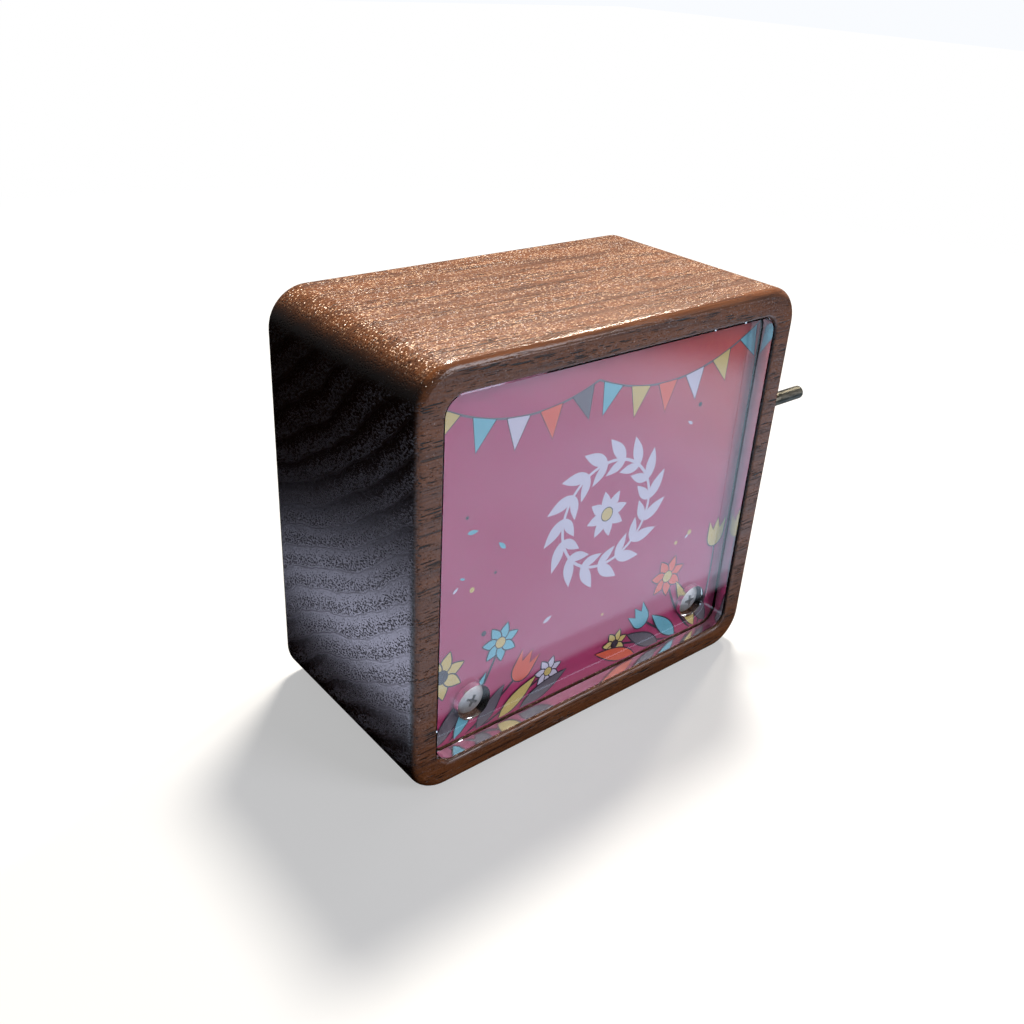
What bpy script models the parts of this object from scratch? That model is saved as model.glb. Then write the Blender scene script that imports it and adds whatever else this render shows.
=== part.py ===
"""Hand cranked wooden music box: a hollowed hardwood case with a thick clear front over a printed card,
and an eighteen-note movement inside that a bent steel crank drives through a worm.

Metres, +Z up. The origin is the middle of the case's underside, the front faces -Y and the crank leaves
the case on +X.
"""

import math
import random

import bmesh
import bpy
from mathutils import Matrix, Vector

# Case
CASE_WIDTH = 0.1004
CASE_HEIGHT = 0.0930
CASE_DEPTH = 0.0524
CORNER_RADIUS = 0.0085
EDGE_ROUND = 0.0018
RIM_WALL = 0.0060
RIM_CORNER_RADIUS = 0.0042
RIM_EDGE_ROUND = 0.0007
CHAMBER_WALL = 0.0085
CHAMBER_CORNER_RADIUS = 0.0120
BACK_RIM_WALL = 0.0045
BACK_RIM_CORNER_RADIUS = 0.0040

# Clearances
SEAT_GAP = 0.0003
RUNNING_GAP = 0.0003

# Front: clear cover, printed card, the board behind it, and the two screws that the cover fits over
COVER_RECESS = 0.0006
COVER_THICKNESS = 0.0070
PANEL_EDGE_BREAK = 0.0003
CARD_THICKNESS = 0.0006
FRONT_BOARD_THICKNESS = 0.0030
PANEL_SCREW_INSET = 0.0170
PANEL_SCREW_HEIGHT = 0.0160
PANEL_SCREW_HEAD = 0.0074
PANEL_SCREW_HEAD_SIDE = 0.0010
PANEL_SCREW_HEAD_DOME = 0.0014
PANEL_SCREW_SHANK = 0.0030
PANEL_SCREW_BITE = 0.0100
POCKET_DEPTH = 0.0030
POCKET_MARGIN = 0.0005
LUG_MARGIN = 0.0042
LUG_CORNER_RADIUS = 0.0030
LUG_FLOOR = 0.0030

# Back board and its countersunk screws
BACK_BOARD_THICKNESS = 0.0045
BACK_SCREW_INSET = 0.0092
BACK_SCREW_HEAD = 0.0050
BACK_SCREW_SHANK = 0.0025
BACK_SCREW_LENGTH = 0.0120

# Movement base
BASE_THICKNESS = 0.0030
BASE_MARGIN = 0.0015
BASE_TO_WALL = 0.0011
BASE_CORNER_RADIUS = 0.0020
EAR_THICKNESS = 0.0025
EAR_HALF_WIDTH = 0.0032
EAR_GAP = 0.0005
MOVEMENT_SCREW_INSET = 0.0032
MOVEMENT_SCREW_HEAD = 0.0050
MOVEMENT_SCREW_SHANK = 0.0024

# Pinned cylinder
CYLINDER_RADIUS = 0.0065
CYLINDER_WALL = 0.0012
CYLINDER_LENGTH = 0.0200
PIN_HEIGHT = 0.0008
PIN_WIDTH = 0.00045
PIN_TAPER = 0.7
PIN_CLEARANCE = 0.00145
PINS_PER_TRACK = 6
BEATS = 40
NOTES = 18
NOTE_PITCH = 0.00105
ARBOR_RADIUS = 0.0010
ARBOR_OVERHANG = 0.0008
CAP_THICKNESS = 0.0010
SPIGOT_LENGTH = 0.0020

# Worm and wheel
TOOTH_MODULE = 0.00075
WHEEL_TEETH = 18
WHEEL_WIDTH = 0.0035
TOOTH_ADDENDUM = 0.00065
TOOTH_DEDENDUM = 0.00080
WHEEL_TOOTH_ROOT_SHARE = 0.58
WHEEL_TOOTH_TIP_SHARE = 0.24
THREAD_FOOT_SHARE = 0.62
THREAD_CREST_SHARE = 0.22
WORM_PITCH_RADIUS = 0.0029
WORM_LENGTH = 0.0110
SPINDLE_RADIUS = 0.0013
SOCKET_RADIUS = 0.0027
SOCKET_LENGTH = 0.0070
SOCKET_DEPTH = 0.0060

# Bridge over the worm
BRIDGE_SHEET = 0.0016
BRIDGE_WIDTH = 0.0052
BRIDGE_LEG_GAP = 0.0019
BRIDGE_HEADROOM = 0.0008
BRIDGE_FOOT = 0.0062

# Comb
COMB_THICKNESS = 0.0010
COMB_TIP_GAP = 0.00035
COMB_TOOTH_WIDTH = 0.00078
COMB_LONGEST_TOOTH = 0.0200
COMB_SHORTEST_TOOTH = 0.0125
COMB_HEEL = 0.0080
COMB_SIDE_MARGIN = 0.0006

# Small screws of the movement
SMALL_SCREW_HEAD = 0.0040
SMALL_SCREW_HEAD_HEIGHT = 0.0014
SMALL_SCREW_SHANK = 0.0020
SMALL_SCREW_DEPTH = 0.0025

# Crank
CRANK_HEIGHT = 0.0465
CRANK_ROD = 0.0032
CRANK_HOLE = 0.0055
CRANK_ARM = 0.0220
CRANK_ARM_OFFSET = 0.0080
CRANK_GRIP = 0.0128
CRANK_BEND_RADIUS = 0.0040
CRANK_END_ROUND = 0.0005
CRANK_REST_TURN = math.radians(50.9)

# Smoothness
CORNER_STEPS = 8
ROUND_SIDES = 24
FINE_SIDES = 36
SMALL_SIDES = 16

# Planes that the pieces share, worked out from the sizes above
FRONT = -CASE_DEPTH / 2
BACK = CASE_DEPTH / 2
COVER_FRONT = FRONT + COVER_RECESS
COVER_BACK = COVER_FRONT + COVER_THICKNESS
CARD_FRONT = COVER_BACK + SEAT_GAP
CARD_BACK = CARD_FRONT + CARD_THICKNESS
FRONT_BOARD_FRONT = CARD_BACK + SEAT_GAP
FRONT_BOARD_BACK = FRONT_BOARD_FRONT + FRONT_BOARD_THICKNESS
FRONT_LEDGE = FRONT_BOARD_BACK + SEAT_GAP
BACK_BOARD_INNER = BACK - BACK_BOARD_THICKNESS
BACK_LEDGE = BACK_BOARD_INNER - SEAT_GAP
BASE_UNDERSIDE = BACK_BOARD_INNER - SEAT_GAP
BASE_TOP = BASE_UNDERSIDE - BASE_THICKNESS

# The bridge's legs stand either side of the worm, as far from its middle as this
WHEEL_PITCH_RADIUS = WHEEL_TEETH * TOOTH_MODULE / 2
LEG_INNER = max(WORM_LENGTH / 2 + RUNNING_GAP, WHEEL_PITCH_RADIUS + TOOTH_ADDENDUM + BRIDGE_LEG_GAP)
LEG_OUTER = LEG_INNER + BRIDGE_SHEET

# The movement stands next to the wall that the crank comes through, its cylinder upright
BASE_RIGHT = CASE_WIDTH / 2 - CHAMBER_WALL - BASE_TO_WALL
CYLINDER_X = BASE_RIGHT - BASE_MARGIN - BRIDGE_FOOT - LEG_OUTER
CYLINDER_Y = BASE_TOP - PIN_CLEARANCE - PIN_HEIGHT - CYLINDER_RADIUS
CRANK_Y = CYLINDER_Y - WHEEL_PITCH_RADIUS - WORM_PITCH_RADIUS
WHEEL_TOP = CRANK_HEIGHT + WHEEL_WIDTH / 2
WHEEL_BOTTOM = CRANK_HEIGHT - WHEEL_WIDTH / 2
CYLINDER_TOP = WHEEL_BOTTOM - SEAT_GAP
CYLINDER_BOTTOM = CYLINDER_TOP - CYLINDER_LENGTH
CAP_TOP = CYLINDER_BOTTOM - SEAT_GAP
CAP_BOTTOM = CAP_TOP - CAP_THICKNESS
LOWER_EAR_TOP = CAP_BOTTOM - EAR_GAP
LOWER_EAR_BOTTOM = LOWER_EAR_TOP - EAR_THICKNESS
UPPER_EAR_BOTTOM = WHEEL_TOP + EAR_GAP
UPPER_EAR_TOP = UPPER_EAR_BOTTOM + EAR_THICKNESS

# The comb lies in the plane of the cylinder's axis, its tips just clear of the pins
TRACK_SPAN = (NOTES - 1) * NOTE_PITCH
FIRST_TRACK = (CYLINDER_TOP + CYLINDER_BOTTOM - TRACK_SPAN) / 2
COMB_TIP = CYLINDER_X - CYLINDER_RADIUS - PIN_HEIGHT - COMB_TIP_GAP
COMB_END = COMB_TIP - COMB_LONGEST_TOOTH - COMB_HEEL
COMB_BACK_FACE = CYLINDER_Y + COMB_THICKNESS / 2
COMB_FRONT_FACE = CYLINDER_Y - COMB_THICKNESS / 2
COMB_BOTTOM = FIRST_TRACK - NOTE_PITCH / 2 - COMB_SIDE_MARGIN
COMB_TOP = FIRST_TRACK + TRACK_SPAN + COMB_TOOTH_WIDTH / 2

# The bridge's web passes in front of the worm
WORM_CREST_RADIUS = WORM_PITCH_RADIUS + TOOTH_ADDENDUM
BRIDGE_UNDERSIDE = CRANK_Y - WORM_CREST_RADIUS - BRIDGE_HEADROOM

# The base's outline reaches past everything that stands on it
BASE_LEFT = COMB_END - BASE_MARGIN
BASE_BOTTOM = LOWER_EAR_BOTTOM - BASE_MARGIN
BASE_UPPER = UPPER_EAR_TOP + BASE_MARGIN


def clear_scene():
    for item in list(bpy.data.objects):
        bpy.data.objects.remove(item)


def look(name, colour, roughness, metallic=0.0, transmission=0.0):
    """A Principled material of one colour."""
    material = bpy.data.materials.new(name)
    material.use_nodes = True
    shader = material.node_tree.nodes["Principled BSDF"]
    shader.inputs["Base Color"].default_value = (*colour, 1.0)
    shader.inputs["Roughness"].default_value = roughness
    shader.inputs["Metallic"].default_value = metallic
    shader.inputs["Transmission Weight"].default_value = transmission
    return material


def circle(radius, sides, offset=0.0):
    """Points round a circle in the plane of the first two coordinates, anticlockwise."""
    turns = [offset + math.tau * step / sides for step in range(sides)]
    return [(radius * math.cos(turn), radius * math.sin(turn)) for turn in turns]


def rounded_rectangle(width, height, radius):
    """A rectangle about the origin with round corners, anticlockwise."""
    points = []
    for corner, (side, level) in enumerate(((1, 1), (-1, 1), (-1, -1), (1, -1))):
        centre = (side * (width / 2 - radius), level * (height / 2 - radius))
        for step in range(CORNER_STEPS + 1):
            turn = math.radians(90 * corner + 90 * step / CORNER_STEPS)
            points.append((centre[0] + radius * math.cos(turn), centre[1] + radius * math.sin(turn)))
    return points


def along_y(points, y):
    """Lays a flat outline in the plane across Y."""
    return [Vector((x, y, z)) for x, z in points]


def along_x(points, x):
    """Lays a flat outline in the plane across X."""
    return [Vector((x, y, z)) for y, z in points]


def along_z(points, z):
    """Lays a flat outline in the plane across Z."""
    return [Vector((x, y, z)) for x, y in points]


def loft(mesh, loops, ring=False):
    """Skins a row of outlines of equal length, capped at both ends, or closed on itself as a ring."""
    rows = [[mesh.verts.new(point) for point in points] for points in loops]
    pairs = list(zip(rows, rows[1:]))
    if ring:
        pairs.append((rows[-1], rows[0]))
    for near, far in pairs:
        for index in range(len(near)):
            after = (index + 1) % len(near)
            mesh.faces.new((near[index], near[after], far[after], far[index]))
    if not ring:
        mesh.faces.new(rows[0])
        mesh.faces.new(rows[-1])


def build(name, material, shapes, at=(0.0, 0.0, 0.0), smooth=True):
    """Makes an object from one or more shapes, each its outlines and whether they close as a ring."""
    mesh = bmesh.new()
    for loops, ring in shapes:
        loft(mesh, loops, ring)
    bmesh.ops.recalc_face_normals(mesh, faces=mesh.faces)
    data = bpy.data.meshes.new(name)
    mesh.to_mesh(data)
    mesh.free()
    if smooth:
        data.shade_smooth()
        data.set_sharp_from_angle(angle=math.radians(32))
    if material:
        data.materials.append(material)
    item = bpy.data.objects.new(name, data)
    item.location = at
    bpy.context.scene.collection.objects.link(item)
    return item


def helper(item):
    """Keeps a tool shape out of the model."""
    item.hide_render = True
    item.display_type = "WIRE"
    return item


def combine(item, tool, operation):
    """Cuts a tool shape from a piece, joins it on, or keeps only what both fill."""
    modifier = item.modifiers.new(tool.name, "BOOLEAN")
    modifier.operation = operation
    modifier.object = helper(tool)
    modifier.solver = "EXACT"


def rod_y(x, z, radius, front, back, sides=ROUND_SIDES):
    """A round bar along Y."""
    outline = [(x + px, z + pz) for px, pz in circle(radius, sides)]
    return [along_y(outline, front), along_y(outline, back)], False


def block(x_range, y_range, z_range):
    """A rectangular block."""
    left, right = x_range
    low, high = z_range
    outline = [(left, low), (right, low), (right, high), (left, high)]
    return [along_y(outline, y_range[0]), along_y(outline, y_range[1])], False


def turned(stations, direction, sides=ROUND_SIDES):
    """A turned solid: (distance along the axis, radius) pairs, laid along X, Y or Z."""
    return [direction(circle(radius, sides), distance) for distance, radius in stations], False


def bored(stations, direction, sides=ROUND_SIDES):
    """A turned ring: the pairs go round its section and back to the first."""
    return [direction(circle(radius, sides), distance) for distance, radius in stations], True


def panel(width, height, radius, front, back, edge):
    """A flat panel with round corners whose edges are broken by a small chamfer."""
    outlines = (
        (front, edge),
        (front + edge, 0.0),
        (back - edge, 0.0),
        (back, edge),
    )
    loops = []
    for y, inset in outlines:
        outline = rounded_rectangle(width - 2 * inset, height - 2 * inset, radius - inset)
        loops.append(along_y([(x, z + CASE_HEIGHT / 2) for x, z in outline], y))
    return loops, False


def case_shell(walnut):
    """One block of hardwood, routed out from both sides, with a ledge for each board to rest on."""
    section = []
    steps = 4
    for step in range(steps + 1):
        turn = math.radians(90 * step / steps)
        inset = EDGE_ROUND * (1 - math.cos(turn))
        section.append((inset, CORNER_RADIUS - inset, FRONT + EDGE_ROUND * (1 - math.sin(turn))))
    for step in range(steps):
        turn = math.radians(90 * step / (steps - 1))
        short = RIM_EDGE_ROUND * (1 - math.sin(turn))
        y = FRONT + RIM_EDGE_ROUND * (1 - math.cos(turn))
        section.append((RIM_WALL - short, RIM_CORNER_RADIUS + short, y))
    section.append((RIM_WALL, RIM_CORNER_RADIUS, FRONT_LEDGE))
    section.append((CHAMBER_WALL, CHAMBER_CORNER_RADIUS, FRONT_LEDGE))
    section.append((CHAMBER_WALL, CHAMBER_CORNER_RADIUS, BACK_LEDGE))
    section.append((BACK_RIM_WALL, BACK_RIM_CORNER_RADIUS, BACK_LEDGE))
    section.append((BACK_RIM_WALL, BACK_RIM_CORNER_RADIUS, BACK))
    for step in range(steps + 1):
        turn = math.radians(90 * step / steps)
        inset = EDGE_ROUND * (1 - math.sin(turn))
        section.append((inset, CORNER_RADIUS - inset, BACK - EDGE_ROUND * (1 - math.cos(turn))))
    loops = []
    for inset, radius, y in section:
        outline = rounded_rectangle(CASE_WIDTH - 2 * inset, CASE_HEIGHT - 2 * inset, radius)
        loops.append(along_y([(x, z + CASE_HEIGHT / 2) for x, z in outline], y))
    shell = build("case_shell", walnut, [(loops, True)])

    reach = CHAMBER_WALL / 2
    lug_back = FRONT_LEDGE + PANEL_SCREW_BITE + LUG_FLOOR
    lug_sides = PANEL_SCREW_INSET + LUG_MARGIN - reach
    lug_height = PANEL_SCREW_HEIGHT + LUG_MARGIN - reach
    lugs = []
    for side in (-1, 1):
        outline = rounded_rectangle(lug_sides, lug_height, LUG_CORNER_RADIUS)
        centre = (side * (CASE_WIDTH / 2 - reach - lug_sides / 2), reach + lug_height / 2)
        outline = [(x + centre[0], z + centre[1]) for x, z in outline]
        lugs.append(([along_y(outline, FRONT_LEDGE), along_y(outline, lug_back)], False))
    combine(shell, build("case_lugs", None, lugs), "UNION")
    pilot = PANEL_SCREW_SHANK / 2 + SEAT_GAP
    floor = FRONT_LEDGE + PANEL_SCREW_BITE + SEAT_GAP
    front = FRONT_LEDGE - SEAT_GAP
    places = panel_screw_places().values()
    pilots = [rod_y(x, PANEL_SCREW_HEIGHT, pilot, front, floor, SMALL_SIDES) for x in places]
    combine(shell, build("panel_screw_pilots", None, pilots), "DIFFERENCE")

    side = CASE_WIDTH / 2
    bore = [(side - 2 * CHAMBER_WALL, CRANK_HOLE / 2), (side + CHAMBER_WALL, CRANK_HOLE / 2)]
    hole = build("crank_hole", None, [turned(bore, along_x)], at=(0.0, CRANK_Y, CRANK_HEIGHT))
    combine(shell, hole, "DIFFERENCE")
    pilot = BACK_SCREW_SHANK / 2 + SEAT_GAP
    depth = BACK - BACK_SCREW_LENGTH - SEAT_GAP
    pilots = [rod_y(x, z, pilot, depth, BACK + SEAT_GAP, SMALL_SIDES) for x, z in back_screw_places()]
    combine(shell, build("back_screw_pilots", None, pilots), "DIFFERENCE")


def panel_screw_places():
    side = CASE_WIDTH / 2 - PANEL_SCREW_INSET
    return {"left": -side, "right": side}


def front_panels(acrylic, card, plywood):
    """The clear cover with a pocket over each screw head, the printed card and the board behind it."""
    width = CASE_WIDTH - 2 * RIM_WALL - 2 * SEAT_GAP
    height = CASE_HEIGHT - 2 * RIM_WALL - 2 * SEAT_GAP
    radius = RIM_CORNER_RADIUS - SEAT_GAP
    pocket = PANEL_SCREW_HEAD / 2 + POCKET_MARGIN
    bore = PANEL_SCREW_SHANK / 2 + SEAT_GAP
    pieces = (
        ("clear_cover", acrylic, COVER_FRONT, COVER_BACK, PANEL_EDGE_BREAK, pocket,
         COVER_BACK - POCKET_DEPTH),
        ("print_card", card, CARD_FRONT, CARD_BACK, CARD_THICKNESS / 4, bore, CARD_FRONT - SEAT_GAP),
        ("front_board", plywood, FRONT_BOARD_FRONT, FRONT_BOARD_BACK, PANEL_EDGE_BREAK, bore,
         FRONT_BOARD_FRONT - SEAT_GAP),
    )
    for name, material, front, back, edge, hole_radius, hole_front in pieces:
        piece = build(name, material, [panel(width, height, radius, front, back, edge)])
        places = panel_screw_places().values()
        ends = (hole_front, back + SEAT_GAP)
        holes = [rod_y(x, PANEL_SCREW_HEIGHT, hole_radius, *ends) for x in places]
        combine(piece, build(name + "_holes", None, holes), "DIFFERENCE")


def panel_screws(steel):
    """Two pan headed screws that hold the card and its board to the lugs in the case's lower corners."""
    under_head = CARD_FRONT - SEAT_GAP
    head = PANEL_SCREW_HEAD / 2
    shank = PANEL_SCREW_SHANK / 2
    tip = FRONT_LEDGE + PANEL_SCREW_BITE
    stations = []
    steps = 6
    for step in range(1, steps + 1):
        turn = math.radians(90 * step / steps)
        rise = PANEL_SCREW_HEAD_SIDE + PANEL_SCREW_HEAD_DOME * math.cos(turn)
        stations.append((under_head - rise, head * math.sin(turn)))
    stations += [(under_head, head), (under_head, shank), (tip - shank, shank), (tip, shank / 4)]
    for side, x in panel_screw_places().items():
        place = (x, 0.0, PANEL_SCREW_HEIGHT)
        build("panel_screw_" + side, steel, [turned(stations, along_y)], at=place)


def back_screw_places():
    """The four corners, lower left first and then anticlockwise as seen from the front."""
    side = CASE_WIDTH / 2 - BACK_SCREW_INSET
    low = BACK_SCREW_INSET
    high = CASE_HEIGHT - BACK_SCREW_INSET
    return [(-side, low), (side, low), (side, high), (-side, high)]


def movement_screw_places():
    """Three corners of the movement's base, those that its comb and bridge leave free."""
    left = BASE_LEFT + MOVEMENT_SCREW_INSET
    right = BASE_RIGHT - MOVEMENT_SCREW_INSET
    low = BASE_BOTTOM + MOVEMENT_SCREW_INSET
    high = BASE_UPPER - MOVEMENT_SCREW_INSET
    return [(left, low), (right, low), (left, high)]


def countersunk(head, shank, length):
    """The outline of a countersunk screw that starts flush with the back face and points forwards."""
    cone = (head - shank) / 2
    tip = BACK - length
    rim = SEAT_GAP
    point = [(tip, shank / 5), (tip + shank, shank / 2)]
    return point + [(BACK - rim - cone, shank / 2), (BACK - rim, head / 2), (BACK, head / 2)]


def countersink(x, z, head, shank):
    """The hole for such a screw, wider all round by the gap."""
    cone = (head - shank) / 2
    seat = BACK - SEAT_GAP - cone
    inner = BACK_BOARD_INNER - SEAT_GAP
    stations = [
        (inner, shank / 2 + SEAT_GAP),
        (seat - SEAT_GAP, shank / 2 + SEAT_GAP),
        (BACK - 2 * SEAT_GAP, head / 2 + SEAT_GAP),
        (BACK + SEAT_GAP, head / 2 + SEAT_GAP),
    ]
    loops, ring = turned(stations, along_y, SMALL_SIDES)
    return [[point + Vector((x, 0.0, z)) for point in loop] for loop in loops], ring


def back_board(plywood, steel):
    """The board that closes the back, held by four screws, with three more that hold the movement."""
    width = CASE_WIDTH - 2 * BACK_RIM_WALL - 2 * SEAT_GAP
    height = CASE_HEIGHT - 2 * BACK_RIM_WALL - 2 * SEAT_GAP
    radius = BACK_RIM_CORNER_RADIUS - SEAT_GAP
    shape = panel(width, height, radius, BACK_BOARD_INNER, BACK, PANEL_EDGE_BREAK)
    board = build("back_board", plywood, [shape])
    groups = (
        ("back_screw", back_screw_places(), BACK_SCREW_HEAD, BACK_SCREW_SHANK, BACK_SCREW_LENGTH),
        ("movement_screw", movement_screw_places(), MOVEMENT_SCREW_HEAD, MOVEMENT_SCREW_SHANK,
         BACK_BOARD_THICKNESS + SEAT_GAP + BASE_THICKNESS),
    )
    for name, places, head, shank, length in groups:
        holes = [countersink(x, z, head, shank) for x, z in places]
        combine(board, build(name + "_holes", None, holes), "DIFFERENCE")
        for number, (x, z) in enumerate(places, start=1):
            shape = turned(countersunk(head, shank, length), along_y, SMALL_SIDES)
            build(f"{name}_{number}", steel, [shape], at=(x, 0.0, z))


def comb_screw_places():
    """Two screws in the comb's heel."""
    x = COMB_END + COMB_HEEL / 2
    quarter = (COMB_TOP - COMB_BOTTOM) / 4
    return [(x, COMB_BOTTOM + quarter), (x, COMB_TOP - quarter)]


def bridge_screw_places():
    """One screw in each foot of the bridge."""
    reach = LEG_OUTER + BRIDGE_FOOT / 2
    return [(CYLINDER_X - reach, CRANK_HEIGHT), (CYLINDER_X + reach, CRANK_HEIGHT)]


def arch(half_width, top, foot):
    """The outline of a bearing ear: a straight sided post with a round top, in X and Y."""
    points = [(half_width, foot), (-half_width, foot)]
    steps = 10
    for step in range(steps + 1):
        turn = math.pi * step / steps
        points.append((-half_width * math.cos(turn), top - half_width * math.sin(turn)))
    return points


def movement_base(zinc):
    """The die cast base: a plate, the raised bed of the comb and two ears that carry the cylinder's arbor."""
    centre_x = (BASE_LEFT + BASE_RIGHT) / 2
    centre_z = (BASE_BOTTOM + BASE_UPPER) / 2
    outline = rounded_rectangle(BASE_RIGHT - BASE_LEFT, BASE_UPPER - BASE_BOTTOM, BASE_CORNER_RADIUS)
    outline = [(x + centre_x, z + centre_z) for x, z in outline]
    plate = [along_y(outline, BASE_TOP), along_y(outline, BASE_UNDERSIDE)], False
    base = build("movement_base", zinc, [plate])

    root = BASE_TOP + BASE_THICKNESS / 2
    bed_top = COMB_BACK_FACE + SEAT_GAP
    heel = (COMB_END, COMB_END + COMB_HEEL)
    bed = block(heel, (bed_top, root), (COMB_BOTTOM, COMB_TOP))
    combine(base, build("comb_bed", None, [bed], smooth=False), "UNION")
    ears = []
    for low, high in ((LOWER_EAR_BOTTOM, LOWER_EAR_TOP), (UPPER_EAR_BOTTOM, UPPER_EAR_TOP)):
        shape = [(x + CYLINDER_X, y) for x, y in arch(EAR_HALF_WIDTH, CYLINDER_Y, root)]
        ears.append(([along_z(shape, low), along_z(shape, high)], False))
    combine(base, build("arbor_ears", None, ears), "UNION")

    bearing = ARBOR_RADIUS + RUNNING_GAP
    ends = [(BASE_BOTTOM, bearing), (BASE_UPPER, bearing)]
    bore = build("arbor_bore", None, [turned(ends, along_z)], at=(CYLINDER_X, CYLINDER_Y, 0.0))
    combine(base, bore, "DIFFERENCE")
    tapped = SMALL_SCREW_SHANK / 2 + SEAT_GAP
    comb_floor = bed_top + SMALL_SCREW_DEPTH + SEAT_GAP
    holes = [rod_y(x, z, tapped, COMB_FRONT_FACE, comb_floor, SMALL_SIDES) for x, z in comb_screw_places()]
    ends = (BASE_TOP - BRIDGE_SHEET, BASE_UNDERSIDE + SEAT_GAP)
    holes += [rod_y(x, z, tapped, *ends, SMALL_SIDES) for x, z in bridge_screw_places()]
    through = MOVEMENT_SCREW_SHANK / 2 + SEAT_GAP
    holes += [rod_y(x, z, through, *ends, SMALL_SIDES) for x, z in movement_screw_places()]
    combine(base, build("base_holes", None, holes), "DIFFERENCE")


def comb_root(note):
    """Where a tooth meets the heel: the low notes, at the bottom, are the longest."""
    share = note / (NOTES - 1)
    return COMB_TIP - COMB_LONGEST_TOOTH + share * (COMB_LONGEST_TOOTH - COMB_SHORTEST_TOOTH)


def comb(steel):
    """The steel comb: eighteen tuned teeth cut from one plate."""
    heel_corner = comb_root(NOTES - 1)
    outline = [(heel_corner, COMB_TOP), (COMB_END, COMB_TOP), (COMB_END, COMB_BOTTOM)]
    outline.append((comb_root(0), COMB_BOTTOM))
    half = COMB_TOOTH_WIDTH / 2
    for note in range(NOTES):
        z = FIRST_TRACK + note * NOTE_PITCH
        root = comb_root(note)
        points = [(root, z - half), (COMB_TIP, z - half), (COMB_TIP, z + half)]
        if note < NOTES - 1:
            points.append((root, z + half))
        outline += points
    shape = [along_y(outline, COMB_FRONT_FACE), along_y(outline, COMB_BACK_FACE)]
    plate = build("comb", steel, [(shape, False)], smooth=False)
    bore = SMALL_SCREW_SHANK / 2 + SEAT_GAP
    reach = COMB_THICKNESS
    ends = (COMB_FRONT_FACE - reach, COMB_BACK_FACE + reach)
    holes = [rod_y(x, z, bore, *ends, SMALL_SIDES) for x, z in comb_screw_places()]
    combine(plate, build("comb_holes", None, holes), "DIFFERENCE")


def small_screws(name, places, seat, steel):
    """Cheese headed screws that point backwards from the face that their heads rest on."""
    under_head = seat - SEAT_GAP
    head = SMALL_SCREW_HEAD / 2
    shank = SMALL_SCREW_SHANK / 2
    top = under_head - SMALL_SCREW_HEAD_HEIGHT
    break_edge = SMALL_SCREW_HEAD_HEIGHT / 5
    grip = {"comb_screw": COMB_THICKNESS, "bridge_screw": BRIDGE_SHEET}[name]
    tip = seat + grip + SEAT_GAP + SMALL_SCREW_DEPTH
    stations = [(top, head - break_edge), (top + break_edge, head), (under_head, head)]
    stations += [(under_head, shank), (tip, shank)]
    for number, (x, z) in enumerate(places, start=1):
        build(f"{name}_{number}", steel, [turned(stations, along_y, SMALL_SIDES)], at=(x, 0.0, z))


def worm_bridge(steel):
    """A folded strap over the worm: two legs with the spindle's bearings, and a foot outside each leg."""
    foot_back = BASE_TOP - SEAT_GAP
    foot_front = foot_back - BRIDGE_SHEET
    web_back = BRIDGE_UNDERSIDE
    web_front = web_back - BRIDGE_SHEET
    half = [(LEG_INNER, web_back), (LEG_INNER, foot_back), (LEG_OUTER + BRIDGE_FOOT, foot_back),
            (LEG_OUTER + BRIDGE_FOOT, foot_front), (LEG_OUTER, foot_front), (LEG_OUTER, web_front)]
    outline = [(CYLINDER_X + x, y) for x, y in half] + [(CYLINDER_X - x, y) for x, y in reversed(half)]
    low = CRANK_HEIGHT - BRIDGE_WIDTH / 2
    high = CRANK_HEIGHT + BRIDGE_WIDTH / 2
    shape = [along_z(outline, low), along_z(outline, high)]
    bridge = build("worm_bridge", steel, [(shape, False)], smooth=False)
    reach = LEG_OUTER + BRIDGE_SHEET
    bearing = SPINDLE_RADIUS + RUNNING_GAP
    bore = turned([(CYLINDER_X - reach, bearing), (CYLINDER_X + reach, bearing)], along_x)
    combine(bridge, build("spindle_bore", None, [bore], at=(0.0, CRANK_Y, CRANK_HEIGHT)), "DIFFERENCE")
    hole = SMALL_SCREW_SHANK / 2 + SEAT_GAP
    front = foot_front - BRIDGE_SHEET
    back = foot_back + BRIDGE_SHEET
    holes = [rod_y(x, z, hole, front, back, SMALL_SIDES) for x, z in bridge_screw_places()]
    combine(bridge, build("bridge_holes", None, holes), "DIFFERENCE")
    return foot_front


def cylinder_axis(z=0.0):
    return (CYLINDER_X, CYLINDER_Y, z)


def pin_cylinder(brass):
    """The brass tube with its tracks of pins, one track to each tooth of the comb."""
    inner = CYLINDER_RADIUS - CYLINDER_WALL
    section = [
        (CYLINDER_BOTTOM, CYLINDER_RADIUS),
        (CYLINDER_TOP, CYLINDER_RADIUS),
        (CYLINDER_TOP, inner),
        (CYLINDER_BOTTOM, inner),
    ]
    tube = build("pin_cylinder", brass, [bored(section, along_z, FINE_SIDES)], at=cylinder_axis())
    tune = random.Random(NOTES)
    half = PIN_WIDTH / 2
    sunk = CYLINDER_RADIUS - CYLINDER_WALL / 2
    pins = []
    for note in range(NOTES):
        z = FIRST_TRACK + note * NOTE_PITCH
        for beat in tune.sample(range(BEATS), PINS_PER_TRACK):
            turn = Matrix.Rotation(math.tau * (beat + 0.5) / BEATS, 4, "Z")
            square = ((-half, -half), (half, -half), (half, half), (-half, half))
            foot = [turn @ Vector((sunk, y, z + up)) for y, up in square]
            top = [(y * PIN_TAPER, up * PIN_TAPER) for y, up in square]
            tip = [turn @ Vector((CYLINDER_RADIUS + PIN_HEIGHT, y, z + up)) for y, up in top]
            pins.append(([foot, tip], False))
    combine(tube, build("pins", None, pins, at=cylinder_axis(), smooth=False), "UNION")


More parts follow.
